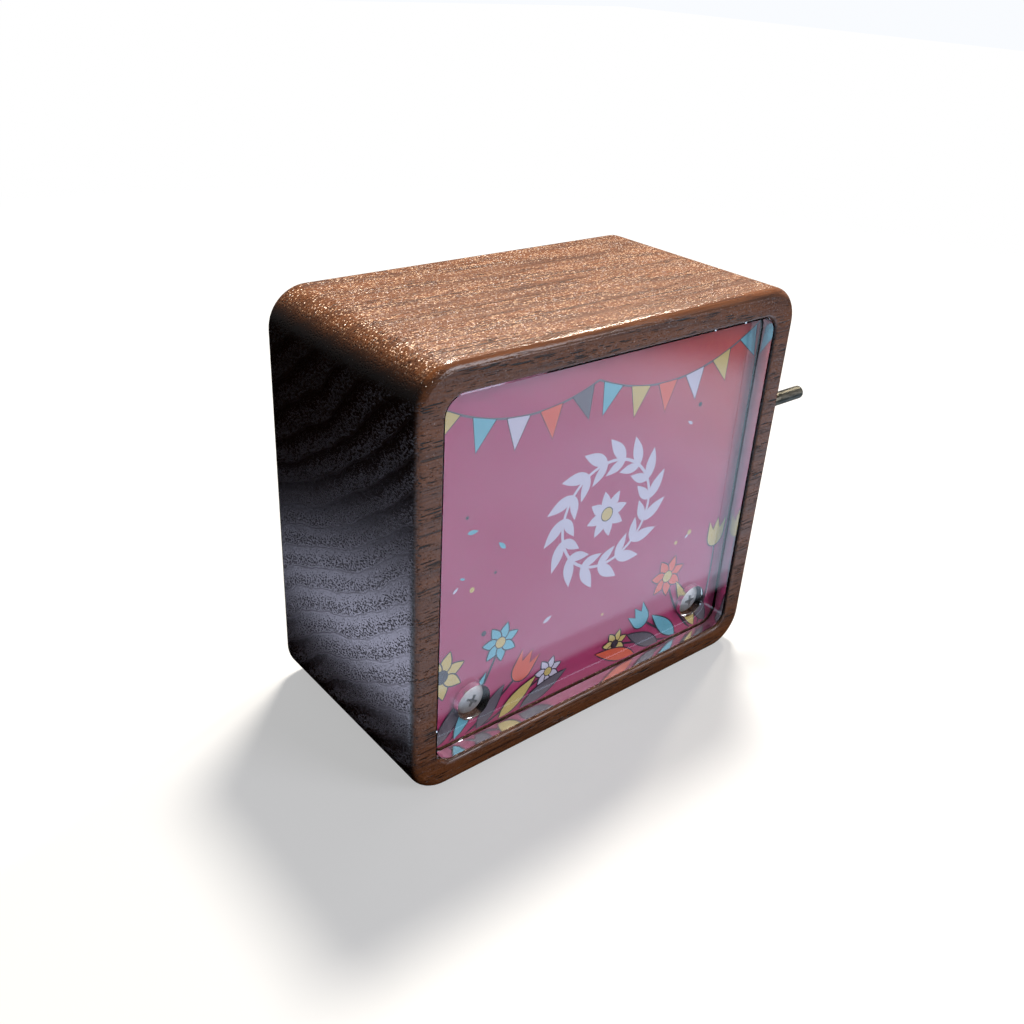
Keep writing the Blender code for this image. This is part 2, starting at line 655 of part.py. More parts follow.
def cylinder_ends(zinc, steel):
    """The cap in the lower end of the tube, and the arbor that everything on the cylinder turns with."""
    spigot = CYLINDER_RADIUS - CYLINDER_WALL - SEAT_GAP
    bore = ARBOR_RADIUS + SEAT_GAP
    section = [
        (CAP_BOTTOM, CYLINDER_RADIUS - CYLINDER_WALL / 2),
        (CAP_TOP, CYLINDER_RADIUS - CYLINDER_WALL / 2),
        (CAP_TOP, spigot),
        (CAP_TOP + SPIGOT_LENGTH, spigot),
        (CAP_TOP + SPIGOT_LENGTH, bore),
        (CAP_BOTTOM, bore),
    ]
    build("cylinder_cap", zinc, [bored(section, along_z)], at=cylinder_axis())
    low = LOWER_EAR_BOTTOM - ARBOR_OVERHANG
    high = UPPER_EAR_TOP + ARBOR_OVERHANG
    ends = ARBOR_RADIUS / 3
    stations = [(low, ARBOR_RADIUS - ends), (low + ends, ARBOR_RADIUS), (high - ends, ARBOR_RADIUS),
                (high, ARBOR_RADIUS - ends)]
    build("cylinder_arbor", steel, [turned(stations, along_z, SMALL_SIDES)], at=cylinder_axis())


def drive_wheel(brass):
    """The wheel on the cylinder's upper end. Its teeth lean by the worm's lead angle."""
    lead = math.pi * TOOTH_MODULE
    lean = math.atan2(lead, math.tau * WORM_PITCH_RADIUS)
    twist = WHEEL_WIDTH * math.tan(lean) / WHEEL_PITCH_RADIUS
    tip = WHEEL_PITCH_RADIUS + TOOTH_ADDENDUM
    root = WHEEL_PITCH_RADIUS - TOOTH_DEDENDUM
    tooth = math.tau / WHEEL_TEETH
    foot = WHEEL_TOOTH_ROOT_SHARE / 2
    crest = WHEEL_TOOTH_TIP_SHARE / 2
    corners = ((-foot, root), (-crest, tip), (crest, tip), (foot, root))
    levels = 4
    loops = []
    for level in range(levels + 1):
        share = level / levels
        outline = []
        for number in range(WHEEL_TEETH):
            for across, radius in corners:
                # One tooth points at the worm, which lies on the side of -Y.
                turn = -math.pi / 2 + tooth * (number + across) + twist * (share - 0.5)
                outline.append((radius * math.cos(turn), radius * math.sin(turn)))
        loops.append(along_z(outline, WHEEL_BOTTOM + share * WHEEL_WIDTH))
    wheel = build("drive_wheel", brass, [(loops, False)], at=cylinder_axis(), smooth=False)
    spigot = CYLINDER_RADIUS - CYLINDER_WALL - SEAT_GAP
    neck = turned([(CYLINDER_TOP - SPIGOT_LENGTH, spigot), (CRANK_HEIGHT, spigot)], along_z)
    combine(wheel, build("wheel_spigot", None, [neck], at=cylinder_axis()), "UNION")
    reach = SPIGOT_LENGTH * 2
    bore = [(CYLINDER_TOP - reach, ARBOR_RADIUS + SEAT_GAP), (WHEEL_TOP + reach, ARBOR_RADIUS + SEAT_GAP)]
    combine(wheel, build("wheel_bore", None, [turned(bore, along_z)], at=cylinder_axis()), "DIFFERENCE")


def crank_axis(x=0.0):
    return (x, CRANK_Y, CRANK_HEIGHT)


def worm(steel):
    """A sleeve with one thread, set so that a groove of it faces the tooth that points at it."""
    lead = math.pi * TOOTH_MODULE
    core = WORM_PITCH_RADIUS - TOOTH_DEDENDUM
    half = WORM_LENGTH / 2
    blank = half + lead / 4
    bore = SPINDLE_RADIUS + SEAT_GAP
    section = [(-blank, core), (blank, core), (blank, bore), (-blank, bore)]
    sleeve = build("worm", steel, [bored(section, along_x)], at=crank_axis(CYLINDER_X))
    sunk = (core + bore) / 2
    foot = THREAD_FOOT_SHARE * lead / 2
    crest = THREAD_CREST_SHARE * lead / 2
    turns = math.ceil(WORM_LENGTH / lead) + 2
    steps = turns * ROUND_SIDES
    loops = []
    for step in range(steps + 1):
        turn = math.tau * step / ROUND_SIDES
        # On the side that faces the wheel, the thread lies half a lead to each side of the wheel's axis.
        middle = lead * (step / ROUND_SIDES - turns // 2 - 0.5)
        outward = Vector((0.0, math.cos(turn), math.sin(turn)))
        along = Vector((1.0, 0.0, 0.0))
        profile = ((sunk, -foot), (WORM_CREST_RADIUS, -crest), (WORM_CREST_RADIUS, crest), (sunk, foot))
        loops.append([outward * radius + along * (middle + offset) for radius, offset in profile])
    thread = build("worm_thread", None, [(loops, False)], at=crank_axis(CYLINDER_X), smooth=False)
    combine(sleeve, thread, "UNION")
    trim = turned([(-half, WORM_CREST_RADIUS * 2), (half, WORM_CREST_RADIUS * 2)], along_x)
    combine(sleeve, build("worm_trim", None, [trim], at=crank_axis(CYLINDER_X)), "INTERSECT")


def worm_spindle(steel):
    """The spindle through both bearings and the worm, with a socket outside that takes the crank."""
    left = -(LEG_OUTER + BRIDGE_SHEET)
    shoulder = LEG_OUTER + RUNNING_GAP
    end = shoulder + SOCKET_LENGTH
    tap = SPINDLE_RADIUS + SEAT_GAP
    stations = [
        (left, SPINDLE_RADIUS),
        (shoulder, SPINDLE_RADIUS),
        (shoulder, SOCKET_RADIUS),
        (end, SOCKET_RADIUS),
    ]
    spindle = build("worm_spindle", steel, [turned(stations, along_x)], at=crank_axis(CYLINDER_X))
    socket = turned([(end - SOCKET_DEPTH, tap), (end + SOCKET_DEPTH, tap)], along_x)
    combine(spindle, build("spindle_socket", None, [socket], at=crank_axis(CYLINDER_X)), "DIFFERENCE")
    return CYLINDER_X + end


def crank_rod(dark_steel, socket_mouth):
    """One bent steel rod: a turned down end in the socket, the shaft, the arm and the grip."""
    radius = CRANK_ROD / 2
    neck = SPINDLE_RADIUS / radius
    arm_plane = CASE_WIDTH / 2 + CRANK_ARM_OFFSET
    tip = arm_plane + CRANK_GRIP
    inner = socket_mouth - SOCKET_DEPTH + SEAT_GAP
    shoulder = socket_mouth + SEAT_GAP
    path = [(inner, 0.0, neck), (shoulder, 0.0, neck), (shoulder + SEAT_GAP / 10, 0.0, 1.0)]
    bend = CRANK_BEND_RADIUS
    steps = 8
    for step in range(steps + 1):
        turn = math.radians(90 * step / steps)
        path.append((arm_plane - bend + bend * math.sin(turn), bend - bend * math.cos(turn), 1.0))
    for step in range(steps + 1):
        turn = math.radians(90 * step / steps)
        path.append((arm_plane + bend - bend * math.cos(turn), CRANK_ARM - bend + bend * math.sin(turn), 1.0))
    for share in (1.0, 0.6, 0.2, 0.0):
        shrink = 1.0 - math.sqrt(1.0 - (1.0 - share) ** 2)
        path.append((tip - CRANK_END_ROUND * share, CRANK_ARM, 1.0 - shrink * CRANK_END_ROUND / radius))
    curve = bpy.data.curves.new("crank_rod", "CURVE")
    curve.dimensions = "3D"
    curve.bevel_depth = radius
    curve.bevel_resolution = 6
    curve.use_fill_caps = True
    spline = curve.splines.new("POLY")
    spline.points.add(len(path) - 1)
    for point, (x, out, scale) in zip(spline.points, path):
        point.co = (x, 0.0, out, 1.0)
        point.radius = scale
    curve.materials.append(dark_steel)
    rod = bpy.data.objects.new("crank_rod", curve)
    rod.location = crank_axis()
    rod.rotation_euler = (CRANK_REST_TURN, 0.0, 0.0)
    bpy.context.scene.collection.objects.link(rod)


clear_scene()
walnut = look("walnut", (0.30, 0.15, 0.09), 0.5)
acrylic = look("acrylic", (0.97, 0.98, 0.98), 0.03, transmission=1.0)
card = look("printed_card", (0.32, 0.03, 0.06), 0.6)
plywood = look("plywood", (0.55, 0.40, 0.24), 0.6)
screw_steel = look("screw_steel", (0.55, 0.54, 0.53), 0.3, metallic=1.0)
dark_steel = look("dark_steel", (0.16, 0.15, 0.13), 0.35, metallic=1.0)
spring_steel = look("spring_steel", (0.48, 0.48, 0.50), 0.25, metallic=1.0)
brass = look("brass", (0.78, 0.57, 0.25), 0.3, metallic=1.0)
zinc = look("zinc", (0.52, 0.53, 0.54), 0.45, metallic=1.0)

case_shell(walnut)
front_panels(acrylic, card, plywood)
panel_screws(screw_steel)
back_board(plywood, screw_steel)
movement_base(zinc)
comb(spring_steel)
small_screws("comb_screw", comb_screw_places(), COMB_FRONT_FACE, screw_steel)
bridge_seat = worm_bridge(spring_steel)
small_screws("bridge_screw", bridge_screw_places(), bridge_seat, screw_steel)
pin_cylinder(brass)
cylinder_ends(zinc, spring_steel)
drive_wheel(brass)
worm(dark_steel)
mouth = worm_spindle(dark_steel)
crank_rod(dark_steel, mouth)
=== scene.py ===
"""Looks of the hand cranked wooden music box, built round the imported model.

Metres, +Z up, the front faces -Y. The sections follow the box as it is put together.
"""

import math
import random

import bmesh
import bpy
from mathutils import Matrix, Vector


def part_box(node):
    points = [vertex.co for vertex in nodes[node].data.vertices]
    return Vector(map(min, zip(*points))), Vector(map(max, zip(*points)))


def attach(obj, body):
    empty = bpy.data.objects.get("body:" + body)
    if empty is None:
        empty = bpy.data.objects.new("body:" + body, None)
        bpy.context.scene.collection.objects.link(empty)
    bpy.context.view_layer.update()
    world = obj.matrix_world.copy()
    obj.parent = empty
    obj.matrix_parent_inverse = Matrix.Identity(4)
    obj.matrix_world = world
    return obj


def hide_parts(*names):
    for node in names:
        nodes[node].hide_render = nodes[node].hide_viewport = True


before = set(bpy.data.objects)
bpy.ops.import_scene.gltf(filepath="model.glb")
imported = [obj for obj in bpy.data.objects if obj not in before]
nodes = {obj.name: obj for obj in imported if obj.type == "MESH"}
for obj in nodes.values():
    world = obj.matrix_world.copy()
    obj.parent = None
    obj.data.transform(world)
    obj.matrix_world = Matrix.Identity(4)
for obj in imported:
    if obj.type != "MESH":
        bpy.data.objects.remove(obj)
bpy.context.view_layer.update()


# The case. One block of dark open-grained walnut with the grain running from side to side, routed out from
# the front and the back, its edges rounded by hand, then rubbed with oil to a low sheen.
GRAIN_TILT = Vector((0.10, 0.52, 0.84))
RING_SPACING = 0.0050
WALNUT_EARLY = (0.205, 0.068, 0.023, 1.0)
WALNUT_LATE = (0.105, 0.037, 0.017, 1.0)
WALNUT_PALE = (0.320, 0.118, 0.042, 1.0)
WALNUT_PORE = (0.010, 0.005, 0.004, 1.0)
WALNUT_END_OIL_AND_SHADE = (0.10, 0.09, 0.10, 1.0)
WALNUT_PAINTED_GLINT = (0.96, 0.64, 0.42, 1.0)
LONG_PORES = (  # size along X, Y and Z, thickness in cells, depth
    ((0.0090, 0.0006, 0.0006), 0.25, 1.0),
    ((0.0045, 0.0005, 0.0005), 0.27, 1.0),
    ((0.0016, 0.0005, 0.0005), 0.22, 0.6),
)
CUT_PORE_SIZE = (0.0040, 0.00066, 0.00036)
RIB_SIZE = (0.00055, 0.00030, 0.00075)
RIB_TURN = math.radians(-28)
RELIEF_HEIGHT = 0.00012
FLAKE_SIZE = (0.00055, 0.00034, 0.00034)
FLAKE_LEAN = 0.9
FLAKE_LIE = (0.5, 0.72, 0.5)
CASE_CORNER_RADIUS = 0.0085
CASE_EDGE_ROUND = 0.0018
RIM_CORNER_RADIUS = 0.0042
RIM_EDGE_ROUND = 0.0007
ROUND_STEPS = 8
CHAMBER_WALL = 0.0085
CHAMBER_CORNER_RADIUS = 0.0120
BACK_RIM_CORNER_RADIUS = 0.0040
FIT = 0.0003


def new_finish(name):
    """An empty finish, its node tree and its shader."""
    finish = bpy.data.materials.new(name)
    finish.use_nodes = True
    tree = finish.node_tree
    return finish, tree, tree.nodes["Principled BSDF"]


def feed(tree, node, feeds):
    """Feeds a node's inputs with values or with other nodes' outputs."""
    for socket, value in feeds.items():
        if isinstance(value, bpy.types.NodeSocket):
            tree.links.new(value, node.inputs[socket])
        else:
            node.inputs[socket].default_value = value


def put(tree, kind, feeds=None, **settings):
    """Adds a shader node, sets it up and feeds its inputs."""
    node = tree.nodes.new("ShaderNode" + kind)
    for name, value in settings.items():
        setattr(node, name, value)
    feed(tree, node, feeds or {})
    return node


def sums(tree, operation, first, second=0.0):
    """The result of a sum on two values."""
    return put(tree, "Math", {0: first, 1: second}, operation=operation).outputs[0]


def times(tree, first, second):
    return sums(tree, "MULTIPLY", first, second)


def larger(tree, first, second):
    return sums(tree, "MAXIMUM", first, second)


def unsigned(tree, value):
    return sums(tree, "ABSOLUTE", value)


def vectors(tree, operation, feeds):
    """The results of a sum on directions, places or colours."""
    return put(tree, "VectorMath", feeds, operation=operation).outputs


def along_line(tree, place, line):
    """How far a place lies along a line from the origin."""
    return vectors(tree, "DOT_PRODUCT", {0: place, 1: line})["Value"]


def parts_of(tree, value):
    """The X, Y and Z of a place, a direction or a colour."""
    return put(tree, "SeparateXYZ", {0: value}).outputs


def ramp(tree, value, start, end):
    """A straight step from 0 to 1 as value goes from start to end."""
    return put(tree, "MapRange", {"Value": value, 1: start, 2: end}).outputs[0]


def fade(tree, value, start, end, low=0.0, high=1.0):
    """A smooth step from low to high as value goes from start to end."""
    feeds = {"Value": value, "From Min": start, "From Max": end, "To Min": low, "To Max": high}
    return put(tree, "MapRange", feeds, interpolation_type="SMOOTHSTEP").outputs["Result"]


def between(tree, share, low, high):
    """A value that goes from low to high with a share."""
    return fade(tree, share, 0.0, 1.0, low, high)


def tint(tree, share, first, second, blend="MIX"):
    """Mixes two colours by a share."""
    feeds = {0: share, 6: first, 7: second}
    return put(tree, "Mix", feeds, data_type="RGBA", blend_type=blend).outputs[2]


def place_in(tree, size, turn=0.0):
    """Object coordinates in steps of a size along X, Y and Z, then turned about X."""
    place = put(tree, "TexCoord").outputs["Object"]
    steps = [1 / length for length in size]
    return put(tree, "Mapping", {0: place, "Rotation": (turn, 0.0, 0.0), "Scale": steps}).outputs[0]


def cloud(tree, size, detail=2.0, roughness=0.5, turn=0.0):
    """Soft noise with features of a size along X, Y and Z."""
    feeds = {"Vector": place_in(tree, size, turn), "Scale": 1.0, "Detail": detail, "Roughness": roughness}
    return put(tree, "TexNoise", feeds).outputs["Fac"]


def cells(tree, size, turn=0.0):
    """Scattered cells of a size: the distance to each one's heart, and a random colour for each."""
    return put(tree, "TexVoronoi", {"Vector": place_in(tree, size, turn), "Scale": 1.0}).outputs


def relief(tree, height, strength, depth):
    """The tilt of a surface with fine hills and hollows."""
    return put(tree, "Bump", {"Height": height, "Strength": strength, "Distance": depth}).outputs[0]


def walnut(name):
    """Oiled walnut: growth rings, open pores like dashes, short fibres with painted glints on the top, and
    end grain darkened partly by oil and partly as painted shade.
    """
    finish, tree, shader = new_finish(name)
    places = put(tree, "TexCoord").outputs
    across = along_line(tree, places["Object"], GRAIN_TILT / RING_SPACING)
    sway = fade(tree, cloud(tree, (0.160, 0.070, 0.070), 1.5), 0.25, 0.75, -0.8, 0.8)
    ripple = fade(tree, cloud(tree, (0.030, 0.008, 0.008), 2.0), 0.2, 0.8, -0.12, 0.12)
    ring = sums(tree, "FRACT", sums(tree, "ADD", across, sums(tree, "ADD", sway, ripple)))
    late = times(tree, fade(tree, ring, 0.45, 0.97), fade(tree, ring, 1.0, 0.97))
    facing = parts_of(tree, places["Normal"])
    end_grain = fade(tree, unsigned(tree, facing["X"]), 0.55, 0.95)
    edge = fade(tree, unsigned(tree, times(tree, facing["Y"], facing["Z"])), 0.06, 0.20)
    smooth = larger(tree, end_grain, edge)
    upright = fade(tree, unsigned(tree, facing["Y"]), 0.6, 0.95)

    fibre = cloud(tree, (0.012, 0.00035, 0.00035), 3.0, 0.6)
    streak = cloud(tree, (0.060, 0.0022, 0.0022), 3.0, 0.55)
    ground = tint(tree, late, WALNUT_EARLY, WALNUT_LATE)
    ground = tint(tree, fade(tree, streak, 0.35, 0.70, 0.0, 0.7), ground, WALNUT_LATE)
    ground = tint(tree, fade(tree, fibre, 0.35, 0.70, 0.0, 0.5), ground, WALNUT_PALE)
    # Painted shade in part: end grain is multiplied almost to black, far darker than oil alone makes it.
    ground = tint(tree, end_grain, ground, WALNUT_END_OIL_AND_SHADE, "MULTIPLY")

    # Short fibres that stand up, tilted and glossier; on upward faces they are tinted pale as a painted
    # highlight.
    flakes = cells(tree, FLAKE_SIZE)
    flake = fade(tree, flakes["Distance"], 0.34, 0.46, 1.0, 0.0)
    flake = times(tree, flake, fade(tree, streak, 0.72, 0.48))
    flake = times(tree, flake, between(tree, smooth, 1.0, 0.1))
    picked = parts_of(tree, flakes["Color"])
    # Painted highlight: fibres picked at random, on upward faces only, are tinted pale orange as glints.
    painted_glint = times(tree, flake, fade(tree, picked["X"], 0.50, 0.75))
    painted_glint = times(tree, painted_glint, fade(tree, facing["Z"], 0.5, 1.0, 0.0, 0.95))
    ground = tint(tree, painted_glint, ground, WALNUT_PAINTED_GLINT)

    # Pores cut lengthwise, three sizes of them and faint long scratches.
    pores = times(tree, fade(tree, cloud(tree, (0.050, 0.0006, 0.0008), 1.0), 0.66, 0.71), 0.7)
    for size, thick, depth in LONG_PORES:
        width = fade(tree, ring, 0.0, 0.6, thick, thick * 0.45)
        width = times(tree, width, between(tree, upright, 1.0, 1.45))
        core = ramp(tree, cells(tree, size)["Distance"], width, times(tree, width, 0.55))
        pores = larger(tree, times(tree, core, depth), pores)
    pores = times(tree, pores, between(tree, smooth, 1.0, 0.3))

    # Pores cut across, in rows along each ring of the end grain, with a thin line between rings.
    rows = times(tree, fade(tree, ring, 0.0, 0.10), fade(tree, ring, 0.30, 0.95, 1.0, 0.0))
    cut = ramp(tree, cells(tree, CUT_PORE_SIZE, RIB_TURN)["Distance"], between(tree, rows, 0.20, 0.48), 0.19)
    line = larger(tree, fade(tree, ring, 0.07, 0.0), fade(tree, ring, 0.90, 1.0))
    cut = larger(tree, cut, times(tree, line, 0.10))
    pores = larger(tree, pores, times(tree, cut, end_grain))

    ribs = cloud(tree, RIB_SIZE, turn=RIB_TURN)
    grooves = sums(tree, "ADD", ribs, times(tree, fibre, 0.7))
    grooves = times(tree, grooves, between(tree, smooth, 1.0, 0.4))
    hollows = times(tree, pores, between(tree, end_grain, 1.6, 0.5))
    tilt = relief(tree, sums(tree, "SUBTRACT", grooves, hollows), 1.0, RELIEF_HEIGHT)
    lean = vectors(tree, "SUBTRACT", {0: flakes["Color"], 1: FLAKE_LIE})[0]
    lean = vectors(tree, "SCALE", {0: lean, "Scale": times(tree, flake, FLAKE_LEAN)})[0]
    lean = vectors(tree, "ADD", {0: tilt, 1: lean})[0]

    gloss = between(tree, flake, 0.36, 0.28)
    worn = between(tree, edge, times(tree, end_grain, 0.12), 0.20)
    gloss = sums(tree, "SUBTRACT", gloss, worn)
    dull = times(tree, pores, between(tree, end_grain, 0.1, 0.6))
    feed(tree, shader, {
        "Base Color": tint(tree, pores, ground, WALNUT_PORE),
        "Normal": vectors(tree, "NORMALIZE", {0: lean})[0],
        "Roughness": sums(tree, "ADD", gloss, dull),
    })
    return finish


def rounded_outline(width, height, radius, steps=14):
    """A rectangle about the origin with round corners, anticlockwise."""
    points = []
    for corner, (side, level) in enumerate(((1, 1), (-1, 1), (-1, -1), (1, -1))):
        for step in range(steps + 1):
            turn = math.radians(90 * corner + 90 * step / steps)
            x = side * (width / 2 - radius) + radius * math.cos(turn)
            z = level * (height / 2 - radius) + radius * math.sin(turn)
            points.append((x, z))
    return points


def round_points(radius, sides):
    """Points spread evenly round the origin, anticlockwise."""
    turns = [math.tau * side / sides for side in range(sides)]
    return [(radius * math.cos(turn), radius * math.sin(turn)) for turn in turns]


def stand(outline, depth, level=0.0):
    """Stands an outline up at a depth, its middle at a level."""
    return [(x, depth, z + level) for x, z in outline]


def soften(data, sharp):
    """Shades a piece smooth but for edges sharper than an angle in degrees."""
    data.shade_smooth()
    data.set_sharp_from_angle(angle=math.radians(sharp))


def settle(name, mesh, finish=None):
    """Puts drawn faces into the scene as a piece."""
    data = bpy.data.meshes.new(name)
    mesh.to_mesh(data)
    mesh.free()
    if finish:
        data.materials.append(finish)
    piece = bpy.data.objects.new(name, data)
    bpy.context.scene.collection.objects.link(piece)
    return piece


def skin(name, outlines, finish=None, ring=False, at=(0.0, 0.0, 0.0), sharp=35):
    """Skins a row of outlines into one closed piece, capped at its ends or closed on itself as a ring."""
    mesh = bmesh.new()
    rows = [[mesh.verts.new(point) for point in outline] for outline in outlines]
    for near, far in zip(rows, rows[1:] + rows[:1] if ring else rows[1:]):
        for index in range(len(near)):
            after = (index + 1) % len(near)
            mesh.faces.new((near[index], near[after], far[after], far[index]))
    if not ring:
        mesh.faces.new(rows[0])
        mesh.faces.new(rows[-1])
    bmesh.ops.recalc_face_normals(mesh, faces=mesh.faces)
    piece = settle(name, mesh, finish)
    piece.location = at
    soften(piece.data, sharp)
    return piece


def carve(piece, tools, operation="DIFFERENCE"):
    """Cuts tool shapes from a piece, or joins them on, and clears the tools away."""
    for tool in tools:
        cut = piece.modifiers.new(tool.name, "BOOLEAN")
        cut.operation = operation
        cut.object = tool
        cut.solver = "EXACT"
    bpy.context.view_layer.update()
    seen = piece.evaluated_get(bpy.context.evaluated_depsgraph_get())
    shaped = bpy.data.meshes.new_from_object(seen)
    shaped.name = piece.data.name
    piece.modifiers.clear()
    piece.data = shaped
    for tool in tools:
        bpy.data.objects.remove(tool)


def bar(name, axis, low, high, radius, flare=0.0, sides=48, at=(0.0, 0.0, 0.0)):
    """A round bar along X or Y, used as a cutting tool. A flare opens its far end."""
    stations = [(low, radius), (high, radius)]
    if flare:
        stations = [(low, radius), (high - flare, radius), (high, radius + flare)]
    outlines = []
    for along, size in stations:
        if axis == "x":
            outlines.append([(along, y, z) for y, z in round_points(size, sides)])
        else:
            outlines.append(stand(round_points(size, sides), along))
    return skin(name, outlines, at=at)


case_low, case_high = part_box("case_shell")
cover_low, cover_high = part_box("clear_cover")
board_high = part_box("front_board")[1]
back_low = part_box("back_board")[0]
case_width = case_high.x - case_low.x
case_height = case_high.z - case_low.z
case_middle = case_height / 2
rim_wall = cover_low.x - FIT - case_low.x
back_rim_wall = back_low.x - FIT - case_low.x
front_ledge = board_high.y + FIT
back_ledge = back_low.y - FIT


def case_section():
    """Round the wood's cut section: inset from the outside, corner radius and depth."""
    turns = [math.radians(90 * step / ROUND_STEPS) for step in range(ROUND_STEPS + 1)]
    section = []
    for turn in turns:
        inset = CASE_EDGE_ROUND * (1 - math.cos(turn))
        depth = case_low.y + CASE_EDGE_ROUND * (1 - math.sin(turn))
        section.append((inset, CASE_CORNER_RADIUS - inset, depth))
    for turn in turns:
        short = RIM_EDGE_ROUND * (1 - math.sin(turn))
        depth = case_low.y + RIM_EDGE_ROUND * (1 - math.cos(turn))
        section.append((rim_wall - short, RIM_CORNER_RADIUS + short, depth))
    section += [
        (rim_wall, RIM_CORNER_RADIUS, front_ledge),
        (CHAMBER_WALL, CHAMBER_CORNER_RADIUS, front_ledge),
        (CHAMBER_WALL, CHAMBER_CORNER_RADIUS, back_ledge),
        (back_rim_wall, BACK_RIM_CORNER_RADIUS, back_ledge),
        (back_rim_wall, BACK_RIM_CORNER_RADIUS, case_high.y),
    ]
    for turn in turns:
        inset = CASE_EDGE_ROUND * (1 - math.sin(turn))
        depth = case_high.y - CASE_EDGE_ROUND * (1 - math.cos(turn))
        section.append((inset, CASE_CORNER_RADIUS - inset, depth))
    return section


PILOT_ROOM = 0.0003
PANEL_SHANK_RADIUS = 0.0015
BACK_SHANK_RADIUS = 0.00125
SCREW_INSET = 0.0170
SCREW_HEIGHT = 0.0160
SCREW_BITE = 0.0100
LUG_MARGIN = 0.0042
LUG_CORNER_RADIUS = 0.0030
LUG_FLOOR = 0.0030
CRANK_HOLE_RADIUS = 0.00275
CRANK_HOLE_FLARE = 0.0004
CUT_PAST = 0.0001
CASE_SHARP = 35
case_walnut = walnut("walnut")
case_outlines = []
for inset, radius, depth in case_section():
    outline = rounded_outline(case_width - 2 * inset, case_height - 2 * inset, radius)
    case_outlines.append(stand(outline, depth, case_middle))
case = skin("walnut_case", case_outlines, case_walnut, ring=True, sharp=CASE_SHARP)
lug_reach = CHAMBER_WALL / 2
lug_width = SCREW_INSET + LUG_MARGIN - lug_reach
lug_height = SCREW_HEIGHT + LUG_MARGIN - lug_reach
lug_outline = rounded_outline(lug_width, lug_height, LUG_CORNER_RADIUS)
lug_depths = (front_ledge, front_ledge + SCREW_BITE + LUG_FLOOR)
lugs = []
pilots = []
for side in (-1, 1):
    lug_place = (side * (case_width / 2 - lug_reach - lug_width / 2), 0.0, lug_reach + lug_height / 2)
    lugs.append(skin("lug", [stand(lug_outline, depth) for depth in lug_depths], at=lug_place))
    pilot_place = (side * (case_width / 2 - SCREW_INSET), 0.0, SCREW_HEIGHT)
    pilots.append(bar("pilot", "y", front_ledge - PILOT_ROOM, front_ledge + SCREW_BITE + PILOT_ROOM,
                      PANEL_SHANK_RADIUS + PILOT_ROOM, at=pilot_place))
for number in range(1, 5):
    low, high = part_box(f"back_screw_{number}")
    pilots.append(bar("pilot", "y", low.y - PILOT_ROOM, case_high.y + PILOT_ROOM,
                      BACK_SHANK_RADIUS + PILOT_ROOM, at=((low.x + high.x) / 2, 0.0, (low.z + high.z) / 2)))
spindle_low, spindle_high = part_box("worm_spindle")
crank_axis = (spindle_low + spindle_high) / 2
crank_hole = bar("crank_hole", "x", case_high.x - 2 * CHAMBER_WALL, case_high.x + CUT_PAST, CRANK_HOLE_RADIUS,
                 flare=CRANK_HOLE_FLARE, at=(0.0, crank_axis.y, crank_axis.z))
carve(case, lugs, "UNION")
carve(case, pilots + [crank_hole])
soften(case.data, CASE_SHARP)
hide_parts("case_shell")
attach(case, "case")


# The front board and the back board. Thin birch plywood, cut by laser: pale face veneer with faint long
# grain, and edges scorched brown where the beam went through the plies.
PLY_REPEAT = 0.0085
VENEER_DEPTH = 0.00006


def birch():
    """Plywood: streaked veneer on the faces and scorched plies on the edges."""
    finish, tree, shader = new_finish("birch_plywood")
    figure = cloud(tree, (0.005, 0.020, 0.090), 3.0, 0.6)
    flecks = cloud(tree, (0.0006, 0.004, 0.009), 2.0)
    face = tint(tree, fade(tree, figure, 0.25, 0.75), (0.58, 0.41, 0.24, 1.0), (0.47, 0.31, 0.17, 1.0))
    face = tint(tree, fade(tree, flecks, 0.55, 0.75, 0.0, 0.35), face, (0.36, 0.22, 0.11, 1.0))
    facing = unsigned(tree, parts_of(tree, put(tree, "NewGeometry").outputs["Normal"])["Y"])
    feeds = {"Vector": place_in(tree, (1.0, PLY_REPEAT, 1.0)), "Scale": 1.0, "Distortion": 0.6}
    plies = put(tree, "TexWave", feeds, bands_direction="Y").outputs["Fac"]
    scorch = tint(tree, plies, (0.055, 0.028, 0.014, 1.0), (0.15, 0.085, 0.045, 1.0))
    feed(tree, shader, {
        "Base Color": tint(tree, fade(tree, facing, 0.90, 0.99), scorch, face),
        "Normal": relief(tree, flecks, 0.5, VENEER_DEPTH),
        "Roughness": fade(tree, figure, 0.2, 0.8, 0.5, 0.68),
    })
    return finish


plywood = birch()
for board in ("front_board", "back_board"):
    nodes[board].data.materials[0] = plywood


# The movement. A die cast zinc base, a ground spring steel comb and strap, a turned brass cylinder with its
# brass wheel, and a blackened worm with its spindle. All of it is hidden once the boards are on.
MARK_DEPTH = 0.00004


def metal(name, colour, dark, roughness, lay, bump):
    """A metal with fine marks that run along the longest side of lay, and a little tarnish in patches."""
    finish, tree, shader = new_finish(name)
    marks = cloud(tree, lay, 3.0, 0.6)
    tarnish = cloud(tree, (0.006, 0.006, 0.006), 4.0, 0.6)
    body = tint(tree, fade(tree, tarnish, 0.45, 0.75, 0.0, 0.55), colour, dark)
    feed(tree, shader, {
        "Base Color": tint(tree, fade(tree, marks, 0.3, 0.7, 0.0, 0.35), body, dark),
        "Metallic": 1.0,
        "Roughness": fade(tree, marks, 0.25, 0.75, roughness, roughness + 0.16),
        "Normal": relief(tree, marks, bump, MARK_DEPTH),
    })
    return finish


